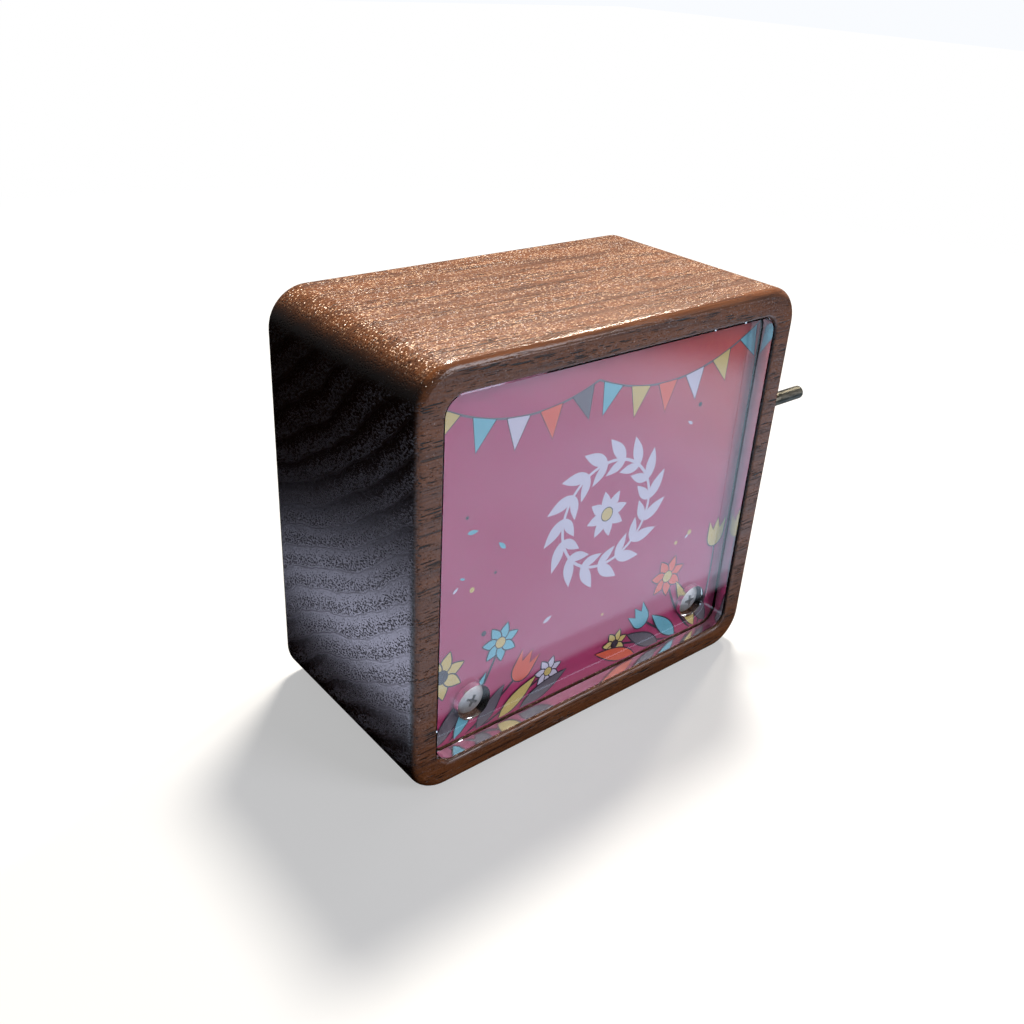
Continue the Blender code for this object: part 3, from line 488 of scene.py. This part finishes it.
zinc = metal("zinc", (0.50, 0.51, 0.52, 1.0), (0.30, 0.30, 0.31, 1.0), 0.38, (0.0006, 0.0006, 0.0006), 0.6)
ground_steel = metal("spring_steel", (0.55, 0.55, 0.57, 1.0), (0.30, 0.30, 0.32, 1.0), 0.20,
                     (0.0002, 0.01, 0.01), 0.3)
brass = metal("brass", (0.80, 0.58, 0.25, 1.0), (0.48, 0.31, 0.11, 1.0), 0.22, (0.01, 0.01, 0.00015), 0.3)
black_steel = metal("blackened_steel", (0.16, 0.145, 0.12, 1.0), (0.06, 0.055, 0.05, 1.0), 0.30,
                    (0.01, 0.0003, 0.0003), 0.4)
for part, finish in (
    ("movement_base", zinc), ("cylinder_cap", zinc), ("comb", ground_steel), ("worm_bridge", ground_steel),
    ("cylinder_arbor", ground_steel), ("pin_cylinder", brass), ("drive_wheel", brass), ("worm", black_steel),
    ("worm_spindle", black_steel),
):
    nodes[part].data.materials[0] = finish


# The screws. Nickel plated steel with rolled threads: two pan heads behind the clear plate, seven
# countersunk ones in the back with cross recesses, and four small slotted ones in the movement.
screw_steel = metal("screw_steel", (0.58, 0.54, 0.53, 1.0), (0.40, 0.37, 0.36, 1.0), 0.50,
                    (0.0004, 0.0004, 0.0004), 0.25)
SCREW_SIDES = 32
STEPS_PER_TURN = 6
TIP_LENGTH = 2.2  # in shank radii
TIP_SHARE = 0.15
CUT_ABOVE = 0.001


def screw(node, head, measures, pitch=0.0011, depth=0.00035, back=False):
    """A screw in place of its plain solid. head lists (share of the head's height, share of its radius)."""
    low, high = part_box(node)
    axis_x = (low.x + high.x) / 2
    axis_z = (low.z + high.z) / 2
    head_radius = (high.x - low.x) / 2
    shank_radius, head_height = measures["shank"], measures["head_height"]
    top = high.y if back else low.y
    towards = -1 if back else 1
    rows = []
    for share, size in head:
        around = round_points(head_radius * size, SCREW_SIDES)
        rows.append([(axis_x + x, top + towards * head_height * share, axis_z + z) for x, z in around])
    run = high.y - low.y - head_height
    steps = int(run / pitch * STEPS_PER_TURN)
    for step in range(steps + 1):
        along = run * step / steps
        taper = min(1.0, (run - along) / (TIP_LENGTH * shank_radius) + TIP_SHARE)
        row = []
        for side in range(SCREW_SIDES):
            turn = side / SCREW_SIDES
            wave = abs(((along / pitch - turn) % 1.0) * 2 - 1)
            radius = (shank_radius - depth * wave) * taper
            row.append((axis_x + radius * math.cos(math.tau * turn),
                        top + towards * (head_height + along),
                        axis_z + radius * math.sin(math.tau * turn)))
        rows.append(row)
    piece = skin(node + "_turned", rows, screw_steel, sharp=50)
    tools = []
    for number, turn in enumerate(measures["slots"]):
        tool = bmesh.new()
        bmesh.ops.create_cube(tool, size=1.0)
        for vert in tool.verts:
            deep = (vert.co.y > 0) != back
            narrow = measures["taper"] if deep else 1.0
            vert.co = Vector((vert.co.x * measures["length"] * narrow,
                              towards * (measures["deep"] if deep else -CUT_ABOVE),
                              vert.co.z * measures["width"] * narrow))
        bmesh.ops.recalc_face_normals(tool, faces=tool.faces)
        cutter = settle(f"slot_{number}", tool)
        cutter.matrix_world = Matrix.Translation((axis_x, top, axis_z)) @ Matrix.Rotation(turn, 4, "Y")
        tools.append(cutter)
    carve(piece, tools)
    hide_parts(node)
    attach(piece, "case")


def cross(turn):
    """The two slots of a cross recess."""
    return turn, turn + math.radians(90)


dome = [(0.0, 0.02)]
for step in range(1, ROUND_STEPS + 1):
    swell = math.radians(90 * step / ROUND_STEPS)
    dome.append((0.58 * (1 - math.cos(swell)), math.sin(swell)))
pan_head = dome + [(0.96, 1.0), (1.0, 0.96)]
cheese_head = [(0.0, 0.02), (0.0, 0.84), (0.12, 0.96), (0.26, 1.0), (0.98, 1.0), (1.0, 0.97)]
flat_head = [(0.0, 0.02), (0.0, 0.96), (0.10, 1.0), (0.25, 1.0), (1.0, 0.52)]
flat_recess = {"length": 0.0030, "width": 0.0007, "deep": 0.0012, "taper": 0.5}
for number, side in enumerate(("left", "right")):
    screw("panel_screw_" + side, pan_head, {
        "shank": PANEL_SHANK_RADIUS, "head_height": 0.0024, "slots": cross(0.5 + number),
        "length": 0.0036, "width": 0.00085, "deep": 0.0016, "taper": 0.55,
    })
for number in range(1, 5):
    screw(f"back_screw_{number}", flat_head, {
        "shank": BACK_SHANK_RADIUS, "head_height": 0.00155, "slots": cross(0.4 * number), **flat_recess,
    }, back=True)
for number in range(1, 4):
    screw(f"movement_screw_{number}", flat_head, {
        "shank": 0.0012, "head_height": 0.0016, "slots": cross(0.7 * number), **flat_recess,
    }, pitch=0.0006, depth=0.0002, back=True)
for group in ("comb_screw", "bridge_screw"):
    for number in (1, 2):
        screw(f"{group}_{number}", cheese_head, {
            "shank": 0.0010, "head_height": 0.0014, "slots": (1.1 * number,),
            "length": 0.0060, "width": 0.0006, "deep": 0.0007, "taper": 1.0,
        }, pitch=0.0005, depth=0.00016)


# The printed card. Smooth white card printed with a crimson ground, turned warm red towards the upper right
# as a painted warm reflection, and over it a generic design in flat inks with dark outlines: bunting, a
# wreath of leaves and two posies.
CRIMSON = (0.360, 0.026, 0.106, 1.0)
CRIMSON_WORN = (0.320, 0.023, 0.088, 1.0)
PAINTED_WARM_REFLECTION = (0.440, 0.055, 0.045, 1.0)
TO_THE_WARM_CORNER = Vector((9.0, 0.0, 13.0))
INKS = {  # fresh and worn
    "dark": ((0.031, 0.017, 0.031, 1.0), (0.047, 0.027, 0.043, 1.0)),
    "lilac": ((0.515, 0.468, 0.577, 1.0), (0.452, 0.406, 0.515, 1.0)),
    "blue": ((0.133, 0.374, 0.468, 1.0), (0.101, 0.312, 0.390, 1.0)),
    "yellow": ((0.530, 0.390, 0.125, 1.0), (0.452, 0.328, 0.101, 1.0)),
    "red": ((0.620, 0.085, 0.035, 1.0), (0.540, 0.070, 0.030, 1.0)),
    "grey": ((0.117, 0.094, 0.117, 1.0), (0.094, 0.074, 0.094, 1.0)),
}
OUTLINE = 0.32


def printed(name, colour, worn, warm=None):
    """Ink on card: a faint mottle where the card took the ink unevenly, and a low sheen. With warm given, a
    painted warm reflection towards one corner.
    """
    finish, tree, shader = new_finish(name)
    mottle = cloud(tree, (0.0011, 0.0011, 0.0011), 4.0, 0.65)
    ground = colour
    if warm:
        # Painted reflection: the ground turns warm red towards the upper right corner.
        towards = along_line(tree, put(tree, "TexCoord").outputs["Object"], TO_THE_WARM_CORNER)
        ground = tint(tree, fade(tree, towards, 0.75, 1.40), colour, warm)
    feed(tree, shader, {
        "Base Color": tint(tree, fade(tree, mottle, 0.40, 0.75, 0.0, 0.20), ground, worn),
        "Roughness": fade(tree, mottle, 0.3, 0.7, 0.42, 0.55),
    })
    return finish


shapes = []


def ink_shape(ink, points, outline=OUTLINE):
    """Prints a shape over what is there, in mm from the card's middle, with a dark line round it."""
    if outline:
        count = len(points)
        middle = Vector((sum(x for x, z in points), sum(z for x, z in points))) / count
        grown = []
        for index in range(count):
            before, here, after = (Vector(points[near % count]) for near in (index - 1, index, index + 1))
            along = (after - before).normalized()
            out = Vector((along.y, -along.x))
            if out.dot(here - middle) < 0 and abs(out.dot((here - middle).normalized())) > 0.3:
                out = -out
            grown.append(tuple(here + out * outline))
        shapes.append(("dark", grown))
    shapes.append((ink, points))


def turned_by(points, turn, x, z):
    """Turns points about the origin and then moves them."""
    c, s = math.cos(turn), math.sin(turn)
    return [(x + px * c - pz * s, z + px * s + pz * c) for px, pz in points]


def leaf(length, width, steps=9):
    """A pointed leaf along +X from the origin, anticlockwise."""
    upper = []
    for step in range(steps + 1):
        upper.append((length * step / steps, width / 2 * math.sin(math.pi * (step / steps) ** 0.8)))
    return [(x, -z) for x, z in upper[:-1]] + upper[:0:-1]


def stroke(points, width):
    """A line of some width along a row of points."""
    left, right = [], []
    for index, point in enumerate(points):
        before = Vector(points[max(index - 1, 0)])
        after = Vector(points[min(index + 1, len(points) - 1)])
        along = (after - before).normalized()
        side = Vector((-along.y, along.x)) * width / 2
        left.append(tuple(Vector(point) + side))
        right.append(tuple(Vector(point) - side))
    return right + left[::-1]


def hanging(start, end, sag, share):
    """A point at a share of the way along a sagging string."""
    x = start[0] + (end[0] - start[0]) * share
    z = start[1] + (end[1] - start[1]) * share - 4 * sag * share * (1 - share)
    return x, z


def bunting(start, end, sag, colours):
    """A string with a row of pennants."""
    string = [hanging(start, end, sag, step / 40) for step in range(41)]
    ink_shape("grey", stroke(string, 0.5), outline=0)
    for number, colour in enumerate(colours):
        share = (number + 0.5) / len(colours)
        slope = math.atan2(end[1] - start[1] - 4 * sag * (1 - 2 * share), end[0] - start[0])
        pennant = [(-2.7, 0.0), (0.0, -6.6), (2.7, 0.0)]
        ink_shape(colour, turned_by(pennant, slope, *hanging(start, end, sag, share)))


def petals(colour, x, z, count, petal, start, gap, outline=OUTLINE):
    """A ring of petals, each a gap away from the flower's middle."""
    for number in range(count):
        turn = math.tau * number / count + start
        ink_shape(colour, turned_by(petal, turn, x + gap * math.cos(turn), z + gap * math.sin(turn)), outline)


def wreath(x, z, radius):
    """A ring of paired leaves round a daisy."""
    ring = [(x + px, z + pz) for px, pz in round_points(radius, 48)]
    ring.append(ring[0])
    for step in range(0, 48, 6):
        ink_shape("lilac", stroke(ring[step:step + 7], 0.7), outline=0)
    count = 15
    for number in range(count):
        turn = math.tau * number / count
        root = (x + radius * math.cos(turn), z + radius * math.sin(turn))
        for lean, size in ((0.55, 7.6), (-0.75, 6.0)):
            shape = turned_by(leaf(size, size * 0.38), turn + math.pi / 2 - lean, *root)
            ink_shape("lilac", shape, outline=0)
    petals("lilac", x, z, 8, leaf(5.0, 2.6), 0.2, 0.8, outline=0)
    ink_shape("yellow", turned_by(round_points(1.5, 20), 0.0, x, z), outline=0.25)


def stem(foot, head, bend):
    """A curved stalk from foot to head."""
    points = []
    for step in range(11):
        share = step / 10
        x = foot[0] + (head[0] - foot[0]) * share + bend * math.sin(math.pi * share)
        z = foot[1] + (head[1] - foot[1]) * share
        points.append((x, z))
    ink_shape("dark", stroke(points, 0.55), outline=0)


def bloom(colour, x, z, size):
    """An open flower of seven pointed petals."""
    petals(colour, x, z, 7, leaf(size, size * 0.52), 0.3, size * 0.12)
    heart = "dark" if colour == "yellow" else "yellow"
    ink_shape(heart, turned_by(round_points(size * 0.30, 20), 0.0, x, z), outline=0.2)


def tulip(colour, x, z, size, turn):
    """A closed flower: three pointed lobes on a round cup."""
    swells = [math.pi + math.pi * step / 10 for step in range(11)]
    cup = [(0.5 * math.cos(swell), 0.55 * math.sin(swell)) for swell in swells]
    lobes = [(0.52, 0.75), (0.22, 0.30), (0.0, 0.85), (-0.22, 0.30), (-0.52, 0.75)]
    ink_shape(colour, turned_by([(px * size, pz * size) for px, pz in cup + lobes], turn, x, z))


STEM_FOOT = -40.0
SPRIG_FOOT = -39.6
SPRIG_WIDTH = 3.4
WREATH_X, WREATH_Z = 2.0, 2.5
WREATH_CLEAR = 23.0
HEAD_X, HEAD_Z = 33.2, -30.5
HEAD_CLEAR = 11.0
TULIP_LEAN = 0.6
bunting((-44.0, 37.5), (-4.0, 34.0), 5.0, ("yellow", "blue", "lilac", "red", "grey"))
bunting((-4.0, 34.0), (44.0, 38.5), 6.5, ("blue", "yellow", "red", "lilac", "yellow", "blue"))
wreath(WREATH_X, WREATH_Z, 12.5)
for foot_x, head, bend, kind, colour, size in (
    (-43.0, (-40.5, -22.0), -0.8, "bloom", "yellow", 5.2),
    (-38.0, (-25.5, -19.5), 1.5, "bloom", "blue", 4.2),
    (-34.0, (-19.0, -29.0), 0.8, "tulip", "red", 5.6),
    (-30.0, (-11.5, -33.0), 0.4, "bloom", "lilac", 3.4),
    (38.5, (40.0, -14.5), 1.0, "tulip", "yellow", 5.4),
    (35.5, (24.5, -21.0), -1.5, "bloom", "red", 4.8),
    (31.0, (17.0, -30.0), -0.8, "tulip", "blue", 5.0),
    (28.0, (9.0, -34.0), -0.4, "bloom", "yellow", 3.4),
):
    stem((foot_x, STEM_FOOT), head, bend)
    if kind == "bloom":
        bloom(colour, *head, size)
    else:
        tulip(colour, *head, size, math.atan2(foot_x - head[0], head[1] - STEM_FOOT) * TULIP_LEAN)
for foot_x, tip_x, tall, colour in (
    (-42.0, -33.5, 11.0, "grey"), (-37.0, -29.0, 14.0, "blue"), (-31.0, -24.0, 8.5, "grey"),
    (-25.0, -15.0, 7.0, "yellow"), (-19.0, -6.0, 5.0, "grey"), (41.0, 33.0, 13.0, "grey"),
    (37.0, 28.0, 16.0, "yellow"), (30.0, 21.0, 9.0, "blue"), (24.0, 13.0, 6.5, "grey"),
    (16.0, 3.0, 5.0, "red"),
):
    length = math.hypot(tip_x - foot_x, tall)
    turn = math.atan2(tall, tip_x - foot_x)
    ink_shape(colour, turned_by(leaf(length, SPRIG_WIDTH), turn, foot_x, SPRIG_FOOT))
specks = random.Random(7)
for number in range(34):
    x = specks.uniform(-40.0, 40.0)
    z = specks.uniform(-27.0, 25.0)
    by_wreath = math.hypot(x - WREATH_X, z - WREATH_Z) <= WREATH_CLEAR
    by_head = math.hypot(abs(x) - HEAD_X, z - HEAD_Z) <= HEAD_CLEAR
    if by_wreath or by_head:
        continue
    size = specks.uniform(0.35, 0.85)
    shape = round_points(size, 8) if number % 2 else leaf(size * 4, size * 1.5)
    colour = ("lilac", "dark", "blue", "yellow")[number % 4]
    ink_shape(colour, turned_by(shape, specks.uniform(0, math.tau), x, z), outline=0)

PRINT_MARGIN = 0.0006
INK_STEP = 0.0000008
FIRST_LAYER = 4
nodes["print_card"].data.materials[0] = printed("crimson_print", CRIMSON, CRIMSON_WORN, PAINTED_WARM_REFLECTION)
card_low, card_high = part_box("print_card")
card_middle = (card_low.z + card_high.z) / 2
card_half_width = (card_high.x - card_low.x) / 2 - PRINT_MARGIN
card_half_height = (card_high.z - card_low.z) / 2 - PRINT_MARGIN
for ink, (colour, worn) in INKS.items():
    mesh = bmesh.new()
    for order, (shape_ink, points) in enumerate(shapes, FIRST_LAYER):
        if shape_ink != ink:
            continue
        y = card_low.y - INK_STEP * order
        verts = []
        for x, z in points:
            x = max(-card_half_width, min(card_half_width, x / 1000))
            z = max(-card_half_height, min(card_half_height, z / 1000))
            verts.append(mesh.verts.new((x, y, z + card_middle)))
        face = mesh.faces.new(verts)
        face.normal_update()
        if face.normal.y > 0:
            face.normal_flip()
    bmesh.ops.triangulate(mesh, faces=mesh.faces)
    layer = settle("print_" + ink, mesh, printed(ink + "_ink", colour, worn))
    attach(layer, "case")


# The clear cover. A 7 mm plate of cast acrylic with polished edges, pushed snugly into the frame, with a
# round pocket milled in its back over each screw head.
COVER_EDGE_BREAK = 0.0003
COVER_PLAY = 0.00006
COVER_CORNER_RADIUS = RIM_CORNER_RADIUS - COVER_PLAY
COVER_SHARP = 30
COVER_COAT = 0.02
POCKET_RADIUS = 0.0042
POCKET_DEPTH = 0.0030
POCKET_CUT_PAST = 0.001


def clear_acrylic(name, coat=0.0):
    """Cast acrylic: bends light as acrylic does, and lets lamps through to what is behind it."""
    finish, tree, shader = new_finish(name)
    haze = cloud(tree, (0.012, 0.012, 0.012), 3.0)
    feed(tree, shader, {
        "Base Color": (0.975, 0.985, 0.985, 1.0),
        "Transmission Weight": 1.0,
        "IOR": 1.49,
        "Roughness": fade(tree, haze, 0.4, 0.8, 0.0, 0.02),
        "Coat Weight": coat,
        "Coat IOR": 1.7,
    })
    through = put(tree, "BsdfTransparent", {"Color": (0.93, 0.94, 0.94, 1.0)}).outputs[0]
    shaded = put(tree, "LightPath").outputs["Is Shadow Ray"]
    mixed = put(tree, "MixShader", {0: shaded, 1: shader.outputs[0], 2: through}).outputs[0]
    feed(tree, tree.nodes["Material Output"], {"Surface": mixed})
    return finish


cover_outlines = []
cover_width = case_width - 2 * rim_wall - 2 * COVER_PLAY
cover_height = case_height - 2 * rim_wall - 2 * COVER_PLAY
for depth, inset in (
    (cover_low.y, COVER_EDGE_BREAK), (cover_low.y + COVER_EDGE_BREAK, 0.0),
    (cover_high.y - COVER_EDGE_BREAK, 0.0), (cover_high.y, COVER_EDGE_BREAK),
):
    outline = rounded_outline(cover_width - 2 * inset, cover_height - 2 * inset, COVER_CORNER_RADIUS - inset)
    cover_outlines.append(stand(outline, depth, case_middle))
cover = skin("clear_plate", cover_outlines, clear_acrylic("clear_acrylic"))
cover.data.materials.append(clear_acrylic("hard_coated_acrylic", COVER_COAT))
screw_low, screw_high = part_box("panel_screw_right")
screw_x = (screw_low.x + screw_high.x) / 2
screw_z = (screw_low.z + screw_high.z) / 2
pockets = []
for side in (-1, 1):
    pockets.append(bar(f"pocket_{side}", "y", cover_high.y - POCKET_DEPTH, cover_high.y + POCKET_CUT_PAST,
                       POCKET_RADIUS, at=(side * screw_x, 0.0, screw_z)))
carve(cover, pockets)
for face in cover.data.polygons:
    if face.normal.y < -0.99 and face.center.y < cover_low.y + COVER_EDGE_BREAK:
        face.material_index = 1
soften(cover.data, COVER_SHARP)
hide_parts("clear_cover")
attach(cover, "case")


# The crank. One piece of 3 mm steel rod, blackened and bent cold, its end rounded over on a wheel. The
# black has worn to bare steel along the grip.
crank_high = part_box("crank_rod")[1]


def worn_black():
    """Blackened steel with fine draw marks, worn through in patches, most of all at the grip's end."""
    finish, tree, shader = new_finish("worn_black_steel")
    along = parts_of(tree, put(tree, "TexCoord").outputs["Object"])["X"]
    draw = cloud(tree, (0.010, 0.00025, 0.00025), 3.0, 0.6)
    patch = cloud(tree, (0.004, 0.0016, 0.0016), 4.0, 0.65)
    grip = fade(tree, along, crank_high.x - 0.014, crank_high.x - 0.004)
    wear = fade(tree, sums(tree, "ADD", patch, times(tree, grip, 0.12)), 0.50, 0.70)
    black = tint(tree, fade(tree, draw, 0.3, 0.7), (0.050, 0.046, 0.036, 1.0), (0.090, 0.083, 0.066, 1.0))
    feed(tree, shader, {
        "Base Color": tint(tree, times(tree, wear, 0.8), black, (0.17, 0.16, 0.13, 1.0)),
        "Metallic": 1.0,
        "Roughness": fade(tree, patch, 0.3, 0.75, 0.28, 0.46),
        "Normal": relief(tree, sums(tree, "ADD", draw, patch), 0.35, MARK_DEPTH),
    })
    return finish


nodes["crank_rod"].data.materials[0] = worn_black()


# The room. A plain pale floor, a pale room all round and three soft lamps. Polished things show a painted
# reflection of the floor: cool sheens that stop at painted shadow lines in front of the box and on its left.
TO_THE_DIM_SIDE = Vector((-0.8, 0.6, 0.0))
PAINTED_SHADOW_FRONT_EDGE = -0.042
PAINTED_SHADOW_LEFT_EDGE = -0.0645
FLOOR_REACH = 2.5
FLOOR_LEVEL = -0.0002
PAINTED_SHEEN_BAND_SIZE = (1 / 21, 1 / 21, 1 / 14)
PAINTED_SHEEN_FRONT = (0.64, 0.80, 1.00, 1.0)
PAINTED_SHEEN_SIDE = (0.74, 0.76, 1.00, 1.0)
PLAIN_WHITE = (1.0, 1.0, 1.0, 1.0)
PLAIN_BLACK = (0.0, 0.0, 0.0, 1.0)
ROOM_GLOW = 0.12


def mirror_rays(tree, path):
    """1 for what is seen in a polished thing or through a clear one."""
    return larger(tree, path["Is Glossy Ray"], path["Is Transmission Ray"])


def pale_floor():
    """A white floor that keeps the box's shadow. To mirror rays it is black and glows instead, a painted
    reflection in cool sheens, dimmer far off, with painted shadow lines by the box.
    """
    finish, tree, shader = new_finish("pale_floor")
    path = put(tree, "LightPath").outputs
    seen = path["Is Camera Ray"]
    mirrored = mirror_rays(tree, path)
    place = put(tree, "TexCoord").outputs["Object"]
    away = vectors(tree, "LENGTH", {0: place})["Value"]
    aside = along_line(tree, place, TO_THE_DIM_SIDE)
    far = fade(tree, away, 0.12, 0.55)
    colour = tint(tree, far, (0.42, 0.42, 0.42, 1.0), PLAIN_BLACK)
    colour = tint(tree, seen, (0.09, 0.09, 0.09, 1.0), colour)

    # Painted reflection and painted shadow: for mirror rays the floor glows in sheens with soft banding,
    # fading far off and on the dim side, and goes black near the front and left of the box.
    parts = parts_of(tree, place)
    clear_of_front_painted_shadow = fade(tree, parts["Y"], PAINTED_SHADOW_FRONT_EDGE, PAINTED_SHADOW_FRONT_EDGE - 0.003)
    clear_of_left_painted_shadow = fade(tree, parts["X"], PAINTED_SHADOW_LEFT_EDGE, PAINTED_SHADOW_LEFT_EDGE - 0.005)
    painted_sheen_mask = fade(tree, aside, 0.055, 0.135, 1.0, 0.0)
    painted_sheen_mask = times(tree, painted_sheen_mask, fade(tree, away, 0.225, 0.290, 1.0, 0.12))
    painted_sheen_bands = cloud(tree, PAINTED_SHEEN_BAND_SIZE, 1.0)
    painted_sheen_mask = times(tree, painted_sheen_mask, fade(tree, painted_sheen_bands, 0.35, 0.65, 0.90, 1.05))
    painted_sheen_mask = times(tree, painted_sheen_mask, larger(tree, clear_of_front_painted_shadow, clear_of_left_painted_shadow))
    behind = times(tree, fade(tree, aside, -0.03, 0.05), fade(tree, parts["Y"], -0.035, 0.0))
    cool = tint(tree, behind, PAINTED_SHEEN_FRONT, PAINTED_SHEEN_SIDE)
    glow = times(tree, seen, between(tree, far, 0.45, 1.0))
    sheen = times(tree, mirrored, times(tree, painted_sheen_mask, between(tree, behind, 1.6, 4.8)))
    feed(tree, shader, {
        "Base Color": tint(tree, mirrored, colour, PLAIN_BLACK),
        "Roughness": 0.9,
        "Specular IOR Level": 0.0,
        "Emission Color": tint(tree, mirrored, PLAIN_WHITE, cool),
        "Emission Strength": sums(tree, "ADD", glow, sheen),
    })
    return finish


floor_mesh = bmesh.new()
bmesh.ops.create_grid(floor_mesh, x_segments=1, y_segments=1, size=FLOOR_REACH)
floor = settle("floor", floor_mesh, pale_floor())
floor.location.z = FLOOR_LEVEL

room = bpy.data.worlds.new("room")
room.use_nodes = True
room_tree = room.node_tree
room_path = put(room_tree, "LightPath").outputs
room_aside = along_line(room_tree, put(room_tree, "TexCoord").outputs["Generated"], TO_THE_DIM_SIDE)
room_sheen = fade(room_tree, room_aside, -0.6, 0.1, 0.32, 0.03)
room_sheen = times(room_tree, mirror_rays(room_tree, room_path), room_sheen)
room_strength = larger(room_tree, larger(room_tree, room_path["Is Camera Ray"], room_sheen), ROOM_GLOW)
feed(room_tree, room_tree.nodes["Background"], {"Color": (0.95, 0.97, 1.0, 1.0), "Strength": room_strength})
bpy.context.scene.world = room

for name, place, size, power, colour in (
    ("key_lamp", (0.35, 0.30, 1.05), 0.20, 19.0, (1.0, 0.94, 0.85)),
    ("window_lamp", (0.77, 0.26, 0.90), 0.10, 4.5, (1.0, 0.90, 0.74)),
    ("front_lamp", (0.60, -1.10, 0.55), 0.70, 7.8, (0.93, 0.93, 1.0)),
):
    light = bpy.data.lights.new(name, "AREA")
    light.shape = "DISK"
    light.size = size
    light.energy = power
    light.color = colour
    lamp = bpy.data.objects.new(name, light)
    lamp.location = place
    aim = Vector((0.0, 0.0, case_middle)) - Vector(place)
    lamp.rotation_euler = aim.to_track_quat("-Z", "Y").to_euler()
    bpy.context.scene.collection.objects.link(lamp)


# The camera. It stands where the photograph was taken from, in front of the box, to its left and above it,
# and looks down on it.
camera_data = bpy.data.cameras.new("camera")
camera_data.sensor_width = 36.0
camera_data.lens = 36.34
camera_data.clip_start = 0.005
camera = bpy.data.objects.new("camera", camera_data)
camera.location = (-0.139227, -0.154536, 0.153483)
camera.rotation_euler = (1.069318, -0.054451, -0.683140)
bpy.context.scene.collection.objects.link(camera)
bpy.context.scene.camera = camera
bpy.context.scene.view_settings.view_transform = "Standard"
